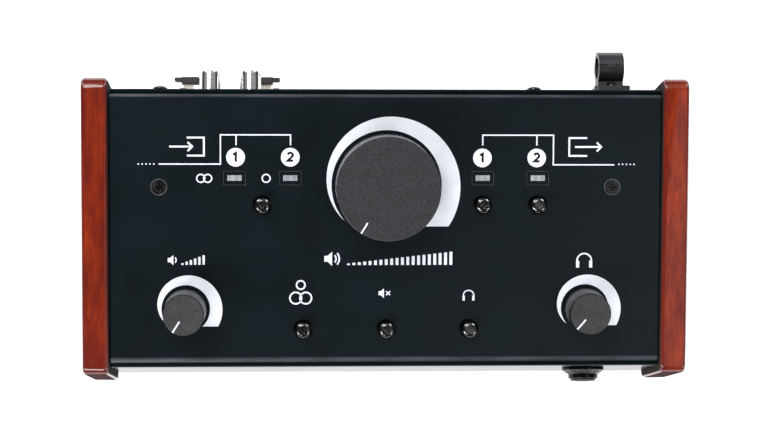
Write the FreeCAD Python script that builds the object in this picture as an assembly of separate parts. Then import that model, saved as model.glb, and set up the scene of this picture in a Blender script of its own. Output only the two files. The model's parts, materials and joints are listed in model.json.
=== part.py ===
import FreeCAD, Part
import math
import os

# Studio monitor controller: a sloped desktop console between two wooden cheeks.
#
# Millimetres. +X is to the user's right, +Y to the rear, +Z up. The origin is on the table, under the middle
# of the whole outline, from the tip of the headphone jack to the tip of the cable clip.
#
# Controls are laid out in cover coordinates: "across" is X, "up" runs up the slope of the cover, and "out" is
# the height above the cover's painted face.
#
# The row of rear sockets is spread over the case's width. What stands over that row sets the height of the
# case's rear, and the front's height follows from the slope.

Vector = FreeCAD.Vector
ALONG_X = Vector(1, 0, 0)
ALONG_Y = Vector(0, 1, 0)
ALONG_Z = Vector(0, 0, 1)

# ---------------------------------------------------------------- driving dimensions

# Case
inner_width = 210.0          # between the inner faces of the cheeks
cheek_thickness = 10.0
cheek_depth = 110.0
slope = 13.545               # of the cover, in degrees
cheek_corner_radius = 2.5    # rounding of a cheek's four corners, seen from the side
cheek_edge_radius = 1.2      # rounding of a cheek's long edges
foot_height = 3.0
front_recess = 2.9           # from a cheek's front end back to the front panel
rear_recess = 4.0
cover_recess = 2.2           # from a cheek's top face down to the cover
sheet = 1.5                  # steel sheet of the cover and the chassis
bend_inside = 0.5            # inner radius of a bend
cover_side_gap = 0.7         # between the cover's edge and a cheek
lip_depth = 8.0              # the cover's front and rear lips
lip_seam = 0.4
fit_gap = 0.1                # between sheets that slide past each other
joggle_drop = 2.0            # the chassis walls step inwards this far below the seam
joggle_height = 2.5
tongue_rise = 5.0            # how far the stepped wall stands up behind a lip

# Controls. An inset is measured from a cheek's inner face, and the others along the slope from the cover's
# ends.
main_from_rear = 36.83
side_knob_inset = 29.0
side_knob_from_front = 22.12
selector_across = 47.0       # middle of each pair of source or output lights
selector_from_rear = 44.23
lamp_half_pitch = 10.5
lamp_from_rear = 34.13
mode_button_pitch = 31.6
mode_button_from_front = 14.42
cover_screw_inset = 19.0
cover_screw_from_rear = 37.53

main_knob_radius = 19.6
main_knob_height = 18.0
side_knob_height = 15.5
main_knob_draft = 0.15       # it is this much narrower at its top
side_knob_draft = 0.25
knob_edge = 0.4
knob_float = 0.8             # gap under a knob's skirt
side_knob_wall = 1.65
main_knob_wall = 2.6
knob_ceiling = 1.3           # from the hollow's top to the shaft's end
knob_boss_wall = 1.6
pointer_width = 0.75
pointer_depth = 0.35
main_pointer_length = 4.7
side_pointer_length = 4.9
pointer_angle = 32.0         # the low stop, clockwise from straight down

shaft_radius = 3.0
shaft_clearance = 0.05
shaft_disc_rim = 1.2         # of the disc beyond the shaft
shaft_disc_thickness = 1.2
shaft_rise = 12.5            # the shaft's end above the cover
bushing_wall = 0.45
bushing_rise = 5.0
bushing_hole_clearance = 0.1
pot_nut_wall = 1.5           # from the bushing to a flat of its nut
pot_nut_thickness = 2.0
pot_nut_clearance = 0.53     # from a corner of the nut to the hollow of a side knob
pot_wall = 0.6               # of a side knob's potentiometer, beside the disc
pot_terminals = 1.5          # its body is this much longer than wide
main_pot_body = (16.0, 17.0)

button_radius = 2.75
button_rise = 4.7
button_gap = 0.95            # round a button, in the cover's hole
button_skirt = 1.4           # the cap's lower end, under the cover's face
button_travel = 1.2
button_dome = 0.5
stem_radius = 1.6
stem_collar_rim = 0.6
stem_collar_thickness = 0.8
switch_wall = 1.2
switch_headroom = 1.0        # left between a pressed cap and its switch
switch_roof = 1.0
switch_floor = 0.6
slide_clearance = 0.1
spring_wire = 0.25           # radius of the wire
spring_radius = 1.4
spring_turns = 3.0

lamp_width = 5.4
lamp_height = 2.1
lamp_frame_side = 1.4        # of the sunk frame beside the lens
lamp_frame_end = 1.55        # above and below it
lamp_frame_depth = 0.3
lamp_clearance = 0.1
lamp_rim = 1.1               # the light guide's shoulder under the cover
lamp_rim_thickness = 1.0
lamp_guide_gap = 0.6         # between a light guide and its light
led_size = (3.2, 1.6, 1.9)

# Boards and screws
overshoot = 1.0              # a cut runs this far past the face that it opens
near = 0.01                  # two places closer than this are the same
board_thickness = 1.6
board_drop = 9.0             # from the cover's painted face down to the control board
control_board_inset = 8.0
control_board_from_front = 7.12
board_gap = 2.65             # between the two boards
standoff_flats = 5.0
rear_standoff_inset = 33.0
front_standoff_inset = 50.0
rear_standoff_edge = 4.0     # from the board's rear edge
front_standoff_edge = 6.0
standoff_bite = 6.0          # of a screw in its standoff
screw_radius = 1.5
screw_head_radius = 2.7
screw_head_height = 1.6
screw_head_crown = 0.65      # the domed share of a pan head's height
screw_tail = 1.0             # a sheet screw's end past the sheets
driver_slot_length = 3.0
driver_slot_width = 0.75
driver_slot_depth = 0.8
cover_screw_length = 6.0
countersunk_rim = 1.5        # of a countersunk head beyond its shank
left_lip_screw_inset = 19.4
right_lip_screw_inset = 48.8
lip_screw_rise = 3.7         # above the rear lip's lower edge
bracket_reach = 7.0          # from the cover screw inwards to the bracket's end
bracket_half_depth = 7.0
bracket_leg = 10.5
chip_size = (9.6, 6.4, 3.3)
chip_bevel = 0.4
chip_across = (-48.0, -24.0, 24.0, 48.0)
capacitor_radius = 3.15
capacitor_height = 6.5
capacitor_rounding = 0.5
capacitor_across = (-62.0, -38.0, -18.0, 18.0, 38.0, 62.0)
part_rows = 4                # capacitors and chips take turns in rows across the control board
ribbon_width = 20.0
ribbon_thickness = 0.9
ribbon_bend = 2.0
ribbon_plug_margin = 2.0     # each side of the ribbon
ribbon_plug_thickness = 5.0
ribbon_plug_height = 6.0
ribbon_from_rear = 33.0      # from the control board's rear edge to its plug
ribbon_rise = 17.0           # of the lower plug above the chassis's underside

# Rear sockets
connector_depth = 16.0       # from the rear panel's inner face to the connector board
connector_board_inset = 6.0
connector_board_low = 8.0    # above the chassis's underside
connector_board_above = 4.0  # over the phono sockets' centre line
combo_count = 2
output_count = 4
row_shift = 0.4              # the row of sockets stands this far left of the middle
row_end_share = 3.65         # the room at each end of the row, in gaps between two sockets
connector_rise = 21.5        # their centre line above the chassis's underside
plug_bore = 3.2              # takes a 6.35 mm plug
contact_hole_radius = 1.3
contact_hole_wall = 1.1      # between the plug's bore and a contact hole
combo_core_rim = 1.5         # of the core beyond its contact holes
combo_shell_gap = 1.8        # round the core, for a plug's shell
barrel_wall = 1.6            # of an input socket
output_wall = 2.2
flange_side = 1.2            # of a flange beside its barrel
flange_end = 3.7             # above and below it
flange_thickness = 2.0
flange_corner = 3.0
flange_screw_edge = 3.5      # from a flange's edges to its screws' axes
barrel_hole_clearance = 0.15
barrel_floor = 3.0
output_insert_thickness = 4.0
pin_radius = 1.2
pin_tip_rounding = 0.7
pin_setback = 3.0            # the pins' tips lie this far inside the rear panel's face

latch_gap = 1.9              # between a barrel and the middle of its latch
latch_width = 4.0
latch_thickness = 1.2
latch_reach = 10.0           # its thumb piece ends this far behind the rear panel
latch_pivot_depth = 4.0      # its pivot, inside the rear panel's outer face
latch_pivot_radius = 0.7
latch_pivot_half = 3.4
latch_ear_thickness = 1.0
latch_ear_front = 2.2        # in front of the pivot
latch_ear_above = 1.8
latch_heel = 1.2             # the tongue's end in front of the pivot
latch_thumb = (6.8, 2.8, 3.4)
latch_thumb_shift = 0.8      # of the thumb piece, to the side without the lip
latch_thumb_rounding = 0.4
latch_lip = (2.8, 1.5, 2.6)
latch_lip_root = 0.6         # the lip's end inside the thumb piece
latch_lip_setback = 0.2
latch_lip_rounding = 0.6
latch_slot_below = 1.3
latch_slot_above = 0.3

phono_inset = 45.4
phono_above_latch = 13.8
phono_below_lip = 7.27
phono_half_pitch = 7.75
phono_shell_radius = 4.15
phono_shell_wall = 0.65
phono_neck_step = 0.25         # the barrel is this much thinner inside its collar
phono_reach = 9.25
phono_core_reach = 7.0
phono_mouth_rounding = 0.3
phono_pin_bore = 1.6
phono_collar_wall = 0.85
phono_collar_rise = 0.8
phono_block_height = 12.0
phono_screw_offset = 9.95    # from a socket outwards to its screw
phono_screw_rise = 3.4       # above the sockets' centre line
phono_screw_head = 2.4
phono_screw_edge = 3.8       # from a screw to the block's end
phono_relief = 0.5           # room round the block in the rear panel's stepped edge

power_inset = 42.0
power_below_lip = 8.77
power_bore = 3.0
power_wall = 1.5
power_end = 2.5              # of the block above and below the bore
power_frame = 1.0
power_bore_depth = 9.5
power_pin_radius = 1.0

# Cable clip
clip_inset = 17.7
clip_below_lip = 7.77
clip_width = 9.7
clip_hole_radius = 4.2
clip_strap = 1.9
clip_neck_length = 2.3       # from the flange to the ring
clip_neck_height = 7.0
clip_neck_drop = 1.5         # the neck's middle below the ring's
clip_flange_side = 1.95      # of the flange beside the ring
clip_flange_thickness = 3.0
clip_corner = 1.2
clip_screw_rise = 4.2        # above the middle of the clip
clip_screw_rim = 0.4         # of the flange above the screw's head
clip_split = 0.15
clip_pin_radius = 0.7
clip_knuckle_wall = 0.8
clip_knuckle_width = 3.2
clip_tab_half_width = 1.6
clip_tab_length = 1.4
clip_tab_depth = 0.9

# Headphone jack
jack_inset = 26.7
jack_below_lip = 10.44       # from the cover's front lip down to the jack's axis
jack_nose = 5.0              # the jack's tip stands this far out of the front panel
jack_bushing_wall = 1.7
jack_nut_base_wall = 3.3     # of the nut round the bushing, at the panel
jack_nut_tip_wall = 0.8
jack_nut_length = 4.2
jack_nut_band = 0.9          # of its length, straight, at the panel
jack_nut_nose = 1.6          # of its length, straight, at its tip
jack_nut_rounding = 0.4
jack_mouth_rounding = 0.5
jack_body_side = 4.8         # of the body beside the bore
jack_body_below = 4.3
jack_body_above = 2.0
jack_body_depth = 21.0
jack_wall = 1.5
contact_width = 2.0
contact_thickness = 0.4
contact_pitch = 5.0
contact_length = 14.0
contact_tag_length = 9.0

# Feet and cheek screws
foot_radius = 6.0
foot_taper = 0.6
foot_inset = 17.0
foot_edge = 15.0             # from a cheek's end to the foot's axis
foot_screw_head_radius = 2.9
foot_screw_head_height = 1.4
foot_screw_head_gap = 0.3    # round the head, in the foot
foot_screw_sink = 0.4        # depth of the head's face inside the foot
foot_screw_length = 7.0
cheek_screw_radius = 1.6
cheek_screw_head_radius = 3.0
cheek_screw_head_height = 2.0
cheek_screw_bite = 7.0
cheek_screw_edge = 17.0      # from a cheek's end
cheek_screw_rise = 15.0      # of the lower screws above a cheek's lower edge
cheek_screw_fall = 22.5      # of the upper one below its rear top corner

# ---------------------------------------------------------------- worked-out places

half_inner = inner_width / 2.0
tilt = math.radians(slope)
bend_radius = bend_inside + sheet
floor_low = foot_height

contact_ring_radius = plug_bore + contact_hole_wall + contact_hole_radius
combo_core_radius = contact_ring_radius + contact_hole_radius + combo_core_rim
combo_bore = combo_core_radius + combo_shell_gap
barrel_radius = combo_bore + barrel_wall
output_bore = barrel_radius - output_wall
flange_width = 2 * (barrel_radius + flange_side)
flange_height = 2 * (barrel_radius + flange_end)
flange_screw_x = flange_width / 2.0 - flange_screw_edge
flange_screw_z = flange_height / 2.0 - flange_screw_edge
connector_count = combo_count + output_count
connector_gaps = connector_count - 1
connector_gap = (inner_width - connector_count * flange_width) / (connector_gaps + 2 * row_end_share)
connector_pitch = flange_width + connector_gap
connector_places = [connector_pitch * (i - connector_gaps / 2.0) - row_shift for i in range(connector_count)]
combo_places = connector_places[:combo_count]
output_places = connector_places[combo_count:]
connector_z = floor_low + connector_rise
latch_z = connector_z + barrel_radius + latch_gap
phono_z = latch_z + phono_above_latch
phono_x = phono_inset - half_inner
phono_places = [phono_x - phono_half_pitch, phono_x + phono_half_pitch]
phono_shell_bore = phono_shell_radius - phono_shell_wall
phono_neck_radius = phono_shell_radius - phono_neck_step
phono_collar_radius = phono_shell_radius + phono_collar_wall
phono_screw_x = phono_half_pitch + phono_screw_offset
phono_block_half = phono_screw_x + phono_screw_edge
rear_lip_z = phono_z + phono_below_lip
rear_lip_screw_z = rear_lip_z + lip_screw_rise
rear_lip_screws = [left_lip_screw_inset - half_inner, half_inner - right_lip_screw_inset]
power_x = half_inner - power_inset
power_z = rear_lip_z - power_below_lip
power_half_width = power_bore + power_wall
power_half_height = power_bore + power_end
clip_x = half_inner - clip_inset
clip_z = rear_lip_z - clip_below_lip
clip_outer_radius = clip_hole_radius + clip_strap
clip_knuckle_radius = clip_pin_radius + clip_knuckle_wall
clip_hole_reach = clip_flange_thickness + clip_neck_length + clip_outer_radius
clip_flange_half_width = clip_width / 2.0 + clip_flange_side
clip_flange_half_height = clip_screw_rise + screw_head_radius + clip_screw_rim

panel_depth = cheek_depth - front_recess - rear_recess
front_face = jack_nose - (jack_nose + panel_depth + clip_hole_reach + clip_outer_radius) / 2.0
rear_face = front_face + panel_depth
flange_face = rear_face + flange_thickness
connector_board_face = rear_face - sheet - connector_depth
connector_board_half_width = half_inner - connector_board_inset
connector_board_high = phono_z + connector_board_above
cheek_front = front_face - front_recess
cheek_rear = cheek_front + cheek_depth
cover_half_width = half_inner - cover_side_gap
tongue_outer = sheet + fit_gap
tongue_inner = tongue_outer + sheet


def cover_height(y):
    """Height of the cover's painted face at a depth y."""
    return rear_lip_z + lip_depth - (rear_face - y) * math.tan(tilt)


def cheek_top(y):
    return cover_height(y) + cover_recess / math.cos(tilt)


front_lip_z = cover_height(front_face) - lip_depth
cover_middle = (front_face + rear_face) / 2.0
cover_origin = Vector(0, cover_middle, cover_height(cover_middle))
cover_frame = FreeCAD.Placement(cover_origin, FreeCAD.Rotation(ALONG_X, slope))
cover_end = panel_depth / 2.0 / math.cos(tilt)
board_out = -board_drop
board_under = board_out - board_thickness
control_board_half_width = half_inner - control_board_inset
control_board_front = control_board_from_front - cover_end
control_board_rear = (connector_board_face - board_thickness - board_gap - cover_middle
                      + board_under * math.sin(tilt)) / math.cos(tilt)
standoff_places = [(side * (half_inner - inset), up) for side in (-1, 1)
                   for inset, up in ((rear_standoff_inset, control_board_rear - rear_standoff_edge),
                                     (front_standoff_inset, control_board_front + front_standoff_edge))]
row_pitch = (control_board_rear - control_board_front) / (part_rows + 1)
row_places = [control_board_front + row_pitch * (i + 1) for i in range(part_rows)]
capacitor_rows = row_places[0::2]
chip_rows = row_places[1::2]
ribbon_up = control_board_rear - ribbon_from_rear
ribbon_low = floor_low + ribbon_rise

bushing_radius = shaft_radius + shaft_clearance + bushing_wall
pot_nut_flats = 2 * (bushing_radius + pot_nut_wall)
shaft_disc_radius = shaft_radius + shaft_disc_rim
knob_boss_radius = shaft_radius + knob_boss_wall
side_knob_radius = pot_nut_flats / 2.0 / math.cos(math.pi / 6.0) + pot_nut_clearance + side_knob_wall
side_pot_width = 2 * (shaft_disc_radius + 2 * slide_clearance + pot_wall)
side_pot_body = (side_pot_width, side_pot_width + pot_terminals)
switch_height = board_drop - button_skirt - button_travel - switch_headroom
stem_collar_radius = stem_radius + stem_collar_rim
switch_side = 2 * (stem_collar_radius + slide_clearance + switch_wall)
lamp_frame_width = lamp_width + 2 * lamp_frame_side
lamp_frame_height = lamp_height + 2 * lamp_frame_end
countersunk_radius = screw_radius + countersunk_rim
cover_screw_across = half_inner - cover_screw_inset
cover_screw_up = cover_end - cover_screw_from_rear

side_knob_across = half_inner - side_knob_inset
side_knob_up = side_knob_from_front - cover_end
knob_places = {"main": (0.0, cover_end - main_from_rear), "aux": (-side_knob_across, side_knob_up),
               "phones": (side_knob_across, side_knob_up)}
knob_sizes = {"main": (main_knob_radius, main_knob_height, main_knob_wall, main_pointer_length,
                       main_knob_draft),
              "aux": (side_knob_radius, side_knob_height, side_knob_wall, side_pointer_length,
                      side_knob_draft),
              "phones": (side_knob_radius, side_knob_height, side_knob_wall, side_pointer_length,
                         side_knob_draft)}
pot_bodies = {"main": main_pot_body, "aux": side_pot_body, "phones": side_pot_body}
selector_up = cover_end - selector_from_rear
mode_button_up = mode_button_from_front - cover_end
button_places = {
    "source": (-selector_across, selector_up),
    "output_1": (selector_across - lamp_half_pitch, selector_up),
    "output_2": (selector_across + lamp_half_pitch, selector_up),
    "mono": (-mode_button_pitch, mode_button_up),
    "mute": (0.0, mode_button_up),
    "listen": (mode_button_pitch, mode_button_up),
}
lamp_places = [(side * selector_across + step * lamp_half_pitch, cover_end - lamp_from_rear)
               for side in (-1, 1) for step in (-1, 1)]

jack_x = half_inner - jack_inset
jack_z = front_lip_z - jack_below_lip
jack_bushing_radius = plug_bore + jack_bushing_wall
jack_body_half_width = plug_bore + jack_body_side
jack_body_low = jack_z - plug_bore - jack_body_below
jack_body_high = jack_z + plug_bore + jack_body_above
foot_counterbore = foot_screw_head_radius + foot_screw_head_gap
foot_counterbore_depth = foot_screw_head_height + foot_screw_sink
foot_places = [(side * (half_inner - foot_inset), y) for side in (-1, 1)
               for y in (cheek_front + foot_edge, cheek_rear - foot_edge)]
cheek_screw_low = floor_low + cheek_screw_rise
cheek_screw_places = [(cheek_front + cheek_screw_edge, cheek_screw_low),
                      (cheek_rear - cheek_screw_edge, cheek_screw_low),
                      (cheek_rear - cheek_screw_edge, cheek_top(cheek_rear) - cheek_screw_fall)]

# ---------------------------------------------------------------- helpers


def block(x0, x1, y0, y1, z0, z1):
    return Part.makeBox(x1 - x0, y1 - y0, z1 - z0, Vector(x0, y0, z0))


def rod(radius, length, base, direction=ALONG_Z):
    return Part.makeCylinder(radius, length, base, direction)


def frustum(radius_start, radius_end, length, base, direction=ALONG_Z):
    return Part.makeCone(radius_start, radius_end, length, base, direction)


def hexagon(flats, length, base):
    """A hexagonal prism along +Z, from its size across the flats."""
    corner = flats / 2.0 / math.cos(math.pi / 6.0)
    ring = [base + Vector(corner * math.cos(math.pi / 3.0 * i), corner * math.sin(math.pi / 3.0 * i), 0)
            for i in range(7)]
    return Part.Face(Part.makePolygon(ring)).extrude(Vector(0, 0, length))


def prism_along_x(outline, x0, x1):
    """A solid with a closed outline of (y, z) points, between two planes across X."""
    corners = [Vector(x0, y, z) for y, z in outline]
    return Part.Face(Part.makePolygon(corners + corners[:1])).extrude(Vector(x1 - x0, 0, 0))


def rounded_plate_y(x0, x1, y0, y1, z0, z1, radius):
    """A plate facing +Y with rounded corners."""
    plate = block(x0, x1, y0, y1, z0, z1)
    return plate.makeFillet(radius, [e for e in plate.Edges if abs(e.tangentAt(0).y) > 0.99])


def on_cover(shape):
    """Carries a shape from cover coordinates to the part's own frame."""
    placed = shape.copy()
    placed.Placement = cover_frame.multiply(placed.Placement)
    return placed


def moved(shape, x, y, z):
    placed = shape.copy()
    placed.translate(Vector(x, y, z))
    return placed


def joined(shapes):
    return shapes[0].multiFuse(shapes[1:]).removeSplitter()


def driver_cross(face_point, inward):
    """The cross recess of a screw head, cut inwards from a point on its face."""
    half_length = driver_slot_length / 2.0
    half_width = driver_slot_width / 2.0
    arms = [block(-a, a, -b, b, 0, driver_slot_depth)
            for a, b in ((half_length, half_width), (half_width, half_length))]
    cross = arms[0].fuse(arms[1])
    cross.Placement = FreeCAD.Placement(face_point, FreeCAD.Rotation(ALONG_Z, inward))
    return cross


def pan_screw(seat, inward, shank_length, head_radius=screw_head_radius, head_height=screw_head_height,
              shank_radius=screw_radius):
    """A pan-head screw: its head's underside is at seat, and its shank runs inwards."""
    outward = inward * -1.0
    crown = head_height * screw_head_crown
    dome_radius = (head_radius ** 2 + crown ** 2) / (2.0 * crown)
    head = rod(head_radius, head_height, seat, outward)
    head = head.common(Part.makeSphere(dome_radius, seat + outward * (head_height - dome_radius)))
    shank = rod(shank_radius, shank_length, seat, inward)
    return joined([head, shank]).cut(driver_cross(seat + outward * head_height, inward))


# ---------------------------------------------------------------- case


def make_cheek(side):
    """A wooden cheek: a wedge with rounded corners and edges, and blind holes for its screws."""
    inner = side * half_inner
    outer = side * (half_inner + cheek_thickness)
    outline = [(cheek_front, floor_low), (cheek_front, cheek_top(cheek_front)),
               (cheek_rear, cheek_top(cheek_rear)),
               (cheek_rear, floor_low)]
    cheek = prism_along_x(outline, min(inner, outer), max(inner, outer))
    cheek = cheek.makeFillet(cheek_corner_radius, [e for e in cheek.Edges if abs(e.tangentAt(0).x) > 0.99])
    rims = [e for e in cheek.Edges if e.BoundBox.XLength < near]
    cheek = cheek.makeFillet(cheek_edge_radius, rims)
    for y, z in cheek_screw_places:
        cheek = cheek.cut(rod(cheek_screw_radius, cheek_screw_bite, Vector(inner, y, z), ALONG_X * side))
    return cheek


def bent_sheet(outer, half_width):
    """A bent sheet across X. outer is its open outline of four (y, z) points; the sheet lies inside it."""
    (ya, za), (yb, zb), (yc, zc), (yd, zd) = outer
    slope = math.atan2(zc - zb, yc - yb)
    up = -1.0 if za < zb else 1.0
    y_in_front = yb + sheet
    y_in_rear = yc - sheet
    rise = up * sheet / math.cos(slope)
    inner = [(y_in_rear, zd), (y_in_rear, zb + (y_in_rear - yb) * math.tan(slope) + rise),
             (y_in_front, zb + (y_in_front - yb) * math.tan(slope) + rise), (y_in_front, za)]
    bent = prism_along_x(list(outer) + inner, -half_width, half_width)

    def bend_at(y, z):
        return [e for e in bent.Edges if abs(e.tangentAt(0).x) > 0.99
                and abs(e.CenterOfMass.y - y) < near and abs(e.CenterOfMass.z - z) < near]

    outer_bends = bend_at(yb, zb) + bend_at(yc, zc)
    inner_bends = bend_at(*inner[1]) + bend_at(*inner[2])
    bent = bent.makeFillet(bend_radius, outer_bends)
    inner_now = [e for e in bent.Edges
                 if any((e.CenterOfMass - f.CenterOfMass).Length < near for f in inner_bends)]
    return bent.makeFillet(bend_inside, inner_now)


def countersunk_form(side):
    """The outer form of a countersunk cover screw, which is also the form of its seat in the cover."""
    place = Vector(side * cover_screw_across, cover_screw_up, 0)
    head = frustum(countersunk_radius, screw_radius, countersunk_radius - screw_radius, place, ALONG_Z * -1.0)
    return joined([head, rod(screw_radius, cover_screw_length, place, ALONG_Z * -1.0)])


def make_cover():
    """The cover: sloped face, front and rear lips, and the openings of every control."""
    cover = bent_sheet([(front_face, front_lip_z), (front_face, cover_height(front_face)),
                        (rear_face, cover_height(rear_face)), (rear_face, rear_lip_z)], cover_half_width)
    through = 3.0 * sheet
    cuts = []
    for across, up in knob_places.values():
        cuts.append(rod(bushing_radius + bushing_hole_clearance, 2 * through, Vector(across, up, -through)))
    for across, up in button_places.values():
        cuts.append(rod(button_radius + button_gap, 2 * through, Vector(across, up, -through)))
    half_w = lamp_width / 2.0 + lamp_clearance
    half_h = lamp_height / 2.0 + lamp_clearance
    for across, up in lamp_places:
        cuts.append(block(across - half_w, across + half_w, up - half_h, up + half_h, -through, through))
        cuts.append(block(across - lamp_frame_width / 2.0, across + lamp_frame_width / 2.0,
                          up - lamp_frame_height / 2.0, up + lamp_frame_height / 2.0, -lamp_frame_depth,
                          through))
    for side in (-1, 1):
        cuts.append(countersunk_form(side))
    for shape in cuts:
        cover = cover.cut(on_cover(shape))
    for x in rear_lip_screws:
        cover = cover.cut(rod(screw_radius, 2 * through, Vector(x, rear_face - through, rear_lip_screw_z),
                              ALONG_Y))
    return cover


def latch_slot(x, y0, y1):
    """The slot that a combo socket's latch passes through."""
    half = latch_width / 2.0 + latch_slot_above
    return block(x - half, x + half, y0, y1, latch_z - latch_thickness / 2.0 - latch_slot_below,
                 latch_z + latch_thickness / 2.0 + latch_slot_above)


def flange_screw_places(x):
    return [(x - flange_screw_x, connector_z + flange_screw_z),
            (x + flange_screw_x, connector_z - flange_screw_z)]


def make_chassis():
    """The chassis: floor, front and rear panels and side walls, folded from sheet."""
    front_top = front_lip_z - lip_seam
    rear_top = rear_lip_z - lip_seam
    channel = bent_sheet([(front_face, front_top), (front_face, floor_low), (rear_face, floor_low),
                          (rear_face, rear_top)], half_inner)
    shapes = [channel]
    tongue_half = half_inner - sheet
    for face, top, lip, way in ((front_face, front_top, front_lip_z, 1),
                                (rear_face, rear_top, rear_lip_z, -1)):
        step = sorted((face, face + way * tongue_inner))
        stand = sorted((face + way * tongue_outer, face + way * tongue_inner))
        shapes.append(block(-tongue_half, tongue_half, step[0], step[1], top - joggle_drop - joggle_height,
                            top - joggle_drop))
        shapes.append(block(-tongue_half, tongue_half, stand[0], stand[1], top - joggle_drop - joggle_height,
                            lip + tongue_rise))
    under = sheet / math.cos(tilt)
    y_front = front_face + tongue_outer
    y_rear = rear_face - tongue_outer
    ease = 2.0 * bend_inside
    wall = [(front_face + bend_radius, floor_low), (front_face, floor_low + bend_radius),
            (front_face, front_top),
            (y_front, front_top), (y_front, cover_height(y_front) - under - ease),
            (y_front + ease, cover_height(y_front + ease) - under),
            (y_rear - ease, cover_height(y_rear - ease) - under),
            (y_rear, cover_height(y_rear) - under - ease),
            (y_rear, rear_top), (rear_face, rear_top),
            (rear_face, floor_low + bend_radius), (rear_face - bend_radius, floor_low)]
    shapes.append(prism_along_x(wall, -half_inner, -half_inner + sheet))
    shapes.append(prism_along_x(wall, half_inner - sheet, half_inner))
    chassis = joined(shapes)

    cuts = []
    deep = 4.0 * sheet
    back = rear_face - deep
    for x in combo_places + output_places:
        cuts.append(rod(barrel_radius + barrel_hole_clearance, 2 * deep, Vector(x, back, connector_z),
                        ALONG_Y))
        for sx, sz in flange_screw_places(x):
            cuts.append(rod(screw_radius, 2 * deep, Vector(sx, back, sz), ALONG_Y))
    for x in combo_places:
        cuts.append(latch_slot(x, back, rear_face + deep))
    for x in phono_places:
        cuts.append(rod(phono_collar_radius + fit_gap, 2 * deep, Vector(x, back, phono_z), ALONG_Y))
    cuts.append(block(phono_x - phono_block_half - phono_relief, phono_x + phono_block_half + phono_relief,
                      back,
                      rear_face - sheet, rear_top - joggle_drop - joggle_height - fit_gap,
                      phono_z + phono_block_height / 2.0 + phono_relief))
    for seat in phono_screw_seats():
        cuts.append(rod(screw_radius, deep, seat, ALONG_Y * -1.0))
    half_width = power_half_width + fit_gap
    half_height = power_half_height + fit_gap
    cuts.append(block(power_x - half_width, power_x + half_width, back, rear_face + deep,
                      power_z - half_height,
                      power_z + half_height))
    cuts.append(rod(screw_radius, 2 * deep, Vector(clip_x, back, clip_z + clip_screw_rise), ALONG_Y))
    for x in rear_lip_screws:
        cuts.append(rod(screw_radius, 2 * deep, Vector(x, back, rear_lip_screw_z), ALONG_Y))
    cuts.append(rod(jack_bushing_radius + fit_gap, 2 * deep, Vector(jack_x, front_face - deep, jack_z),
                    ALONG_Y))
    for x, y in foot_places:
        cuts.append(rod(screw_radius, 2 * deep, Vector(x, y, floor_low - deep)))
    for side in (-1, 1):
        for y, z in cheek_screw_places:
            cuts.append(rod(cheek_screw_radius, 2 * deep, Vector(side * half_inner - deep, y, z), ALONG_X))
    for shape in cuts:
        chassis = chassis.cut(shape)
    return chassis


def make_cover_bracket(side):
    """An angle on the side wall whose flange carries the cover and takes its screw."""
    edges = sorted((side * (cover_screw_across - bracket_reach), side * (half_inner - sheet)))
    leg = sorted((side * (half_inner - 2 * sheet), side * (half_inner - sheet)))
    up = (cover_screw_up - bracket_half_depth, cover_screw_up + bracket_half_depth)
    flange = block(edges[0], edges[1], up[0], up[1], -2 * sheet, -sheet)
    bracket = joined([flange, block(leg[0], leg[1], up[0], up[1], -sheet - bracket_leg, -sheet)])
    return on_cover(bracket.cut(countersunk_form(side)))


def make_cover_screws():
    """Two countersunk screws in the cover's face and two pan heads in its rear lip."""
    screws = []
    for side in (-1, 1):
        place = Vector(side * cover_screw_across, cover_screw_up, 0)
        screws.append(on_cover(countersunk_form(side).cut(driver_cross(place, ALONG_Z * -1.0))))
    for x in rear_lip_screws:
        screws.append(pan_screw(Vector(x, rear_face, rear_lip_screw_z), ALONG_Y * -1.0,
                                tongue_inner + screw_tail))
    return screws


def make_feet():
    feet = []
    for x, y in foot_places:
        foot = frustum(foot_radius - foot_taper, foot_radius, foot_height, Vector(x, y, 0))
        foot = foot.cut(rod(foot_counterbore, foot_counterbore_depth, Vector(x, y, 0)))
        feet.append(foot.cut(rod(screw_radius, foot_height, Vector(x, y, 0))))
    return feet


def make_foot_screws():
    return [pan_screw(Vector(x, y, foot_counterbore_depth), ALONG_Z, foot_screw_length,
                      foot_screw_head_radius,
                      foot_screw_head_height) for x, y in foot_places]


def make_cheek_screws():
    return [pan_screw(Vector(side * (half_inner - sheet), y, z), ALONG_X * side, sheet + cheek_screw_bite,
                      cheek_screw_head_radius, cheek_screw_head_height, cheek_screw_radius)
            for side in (-1, 1) for y, z in cheek_screw_places]


# ---------------------------------------------------------------- knobs and potentiometers


def make_pot_body(name):
    """A potentiometer on the control board: its case holds the shaft's disc, its bushing guides the shaft."""
    across, up = knob_places[name]
    half_w, half_d = (side / 2.0 for side in pot_bodies[name])
    case = block(across - half_w, across + half_w, up - half_d, up + half_d, board_out, -sheet)
    bushing = rod(bushing_radius, sheet + bushing_rise, Vector(across, up, -sheet))
    body = joined([case, bushing])
    bore_low = board_out + shaft_disc_thickness
    body = body.cut(rod(shaft_radius + shaft_clearance, bushing_rise - bore_low,
                        Vector(across, up, bore_low)))
    cavity = rod(shaft_disc_radius + 2 * slide_clearance, shaft_disc_thickness + 2 * slide_clearance,
                 Vector(across, up, bore_low))
    return on_cover(body.cut(cavity))


def make_shaft(name):
    across, up = knob_places[name]
    low = board_out + shaft_disc_thickness + slide_clearance
    disc = rod(shaft_disc_radius, shaft_disc_thickness, Vector(across, up, low))
    return on_cover(joined([disc, rod(shaft_radius, shaft_rise - low, Vector(across, up, low))]))


def make_pot_nut(name):
    across, up = knob_places[name]
    nut = hexagon(pot_nut_flats, pot_nut_thickness, Vector(across, up, 0))
    return on_cover(nut.cut(rod(bushing_radius, pot_nut_thickness, Vector(across, up, 0))))


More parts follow.
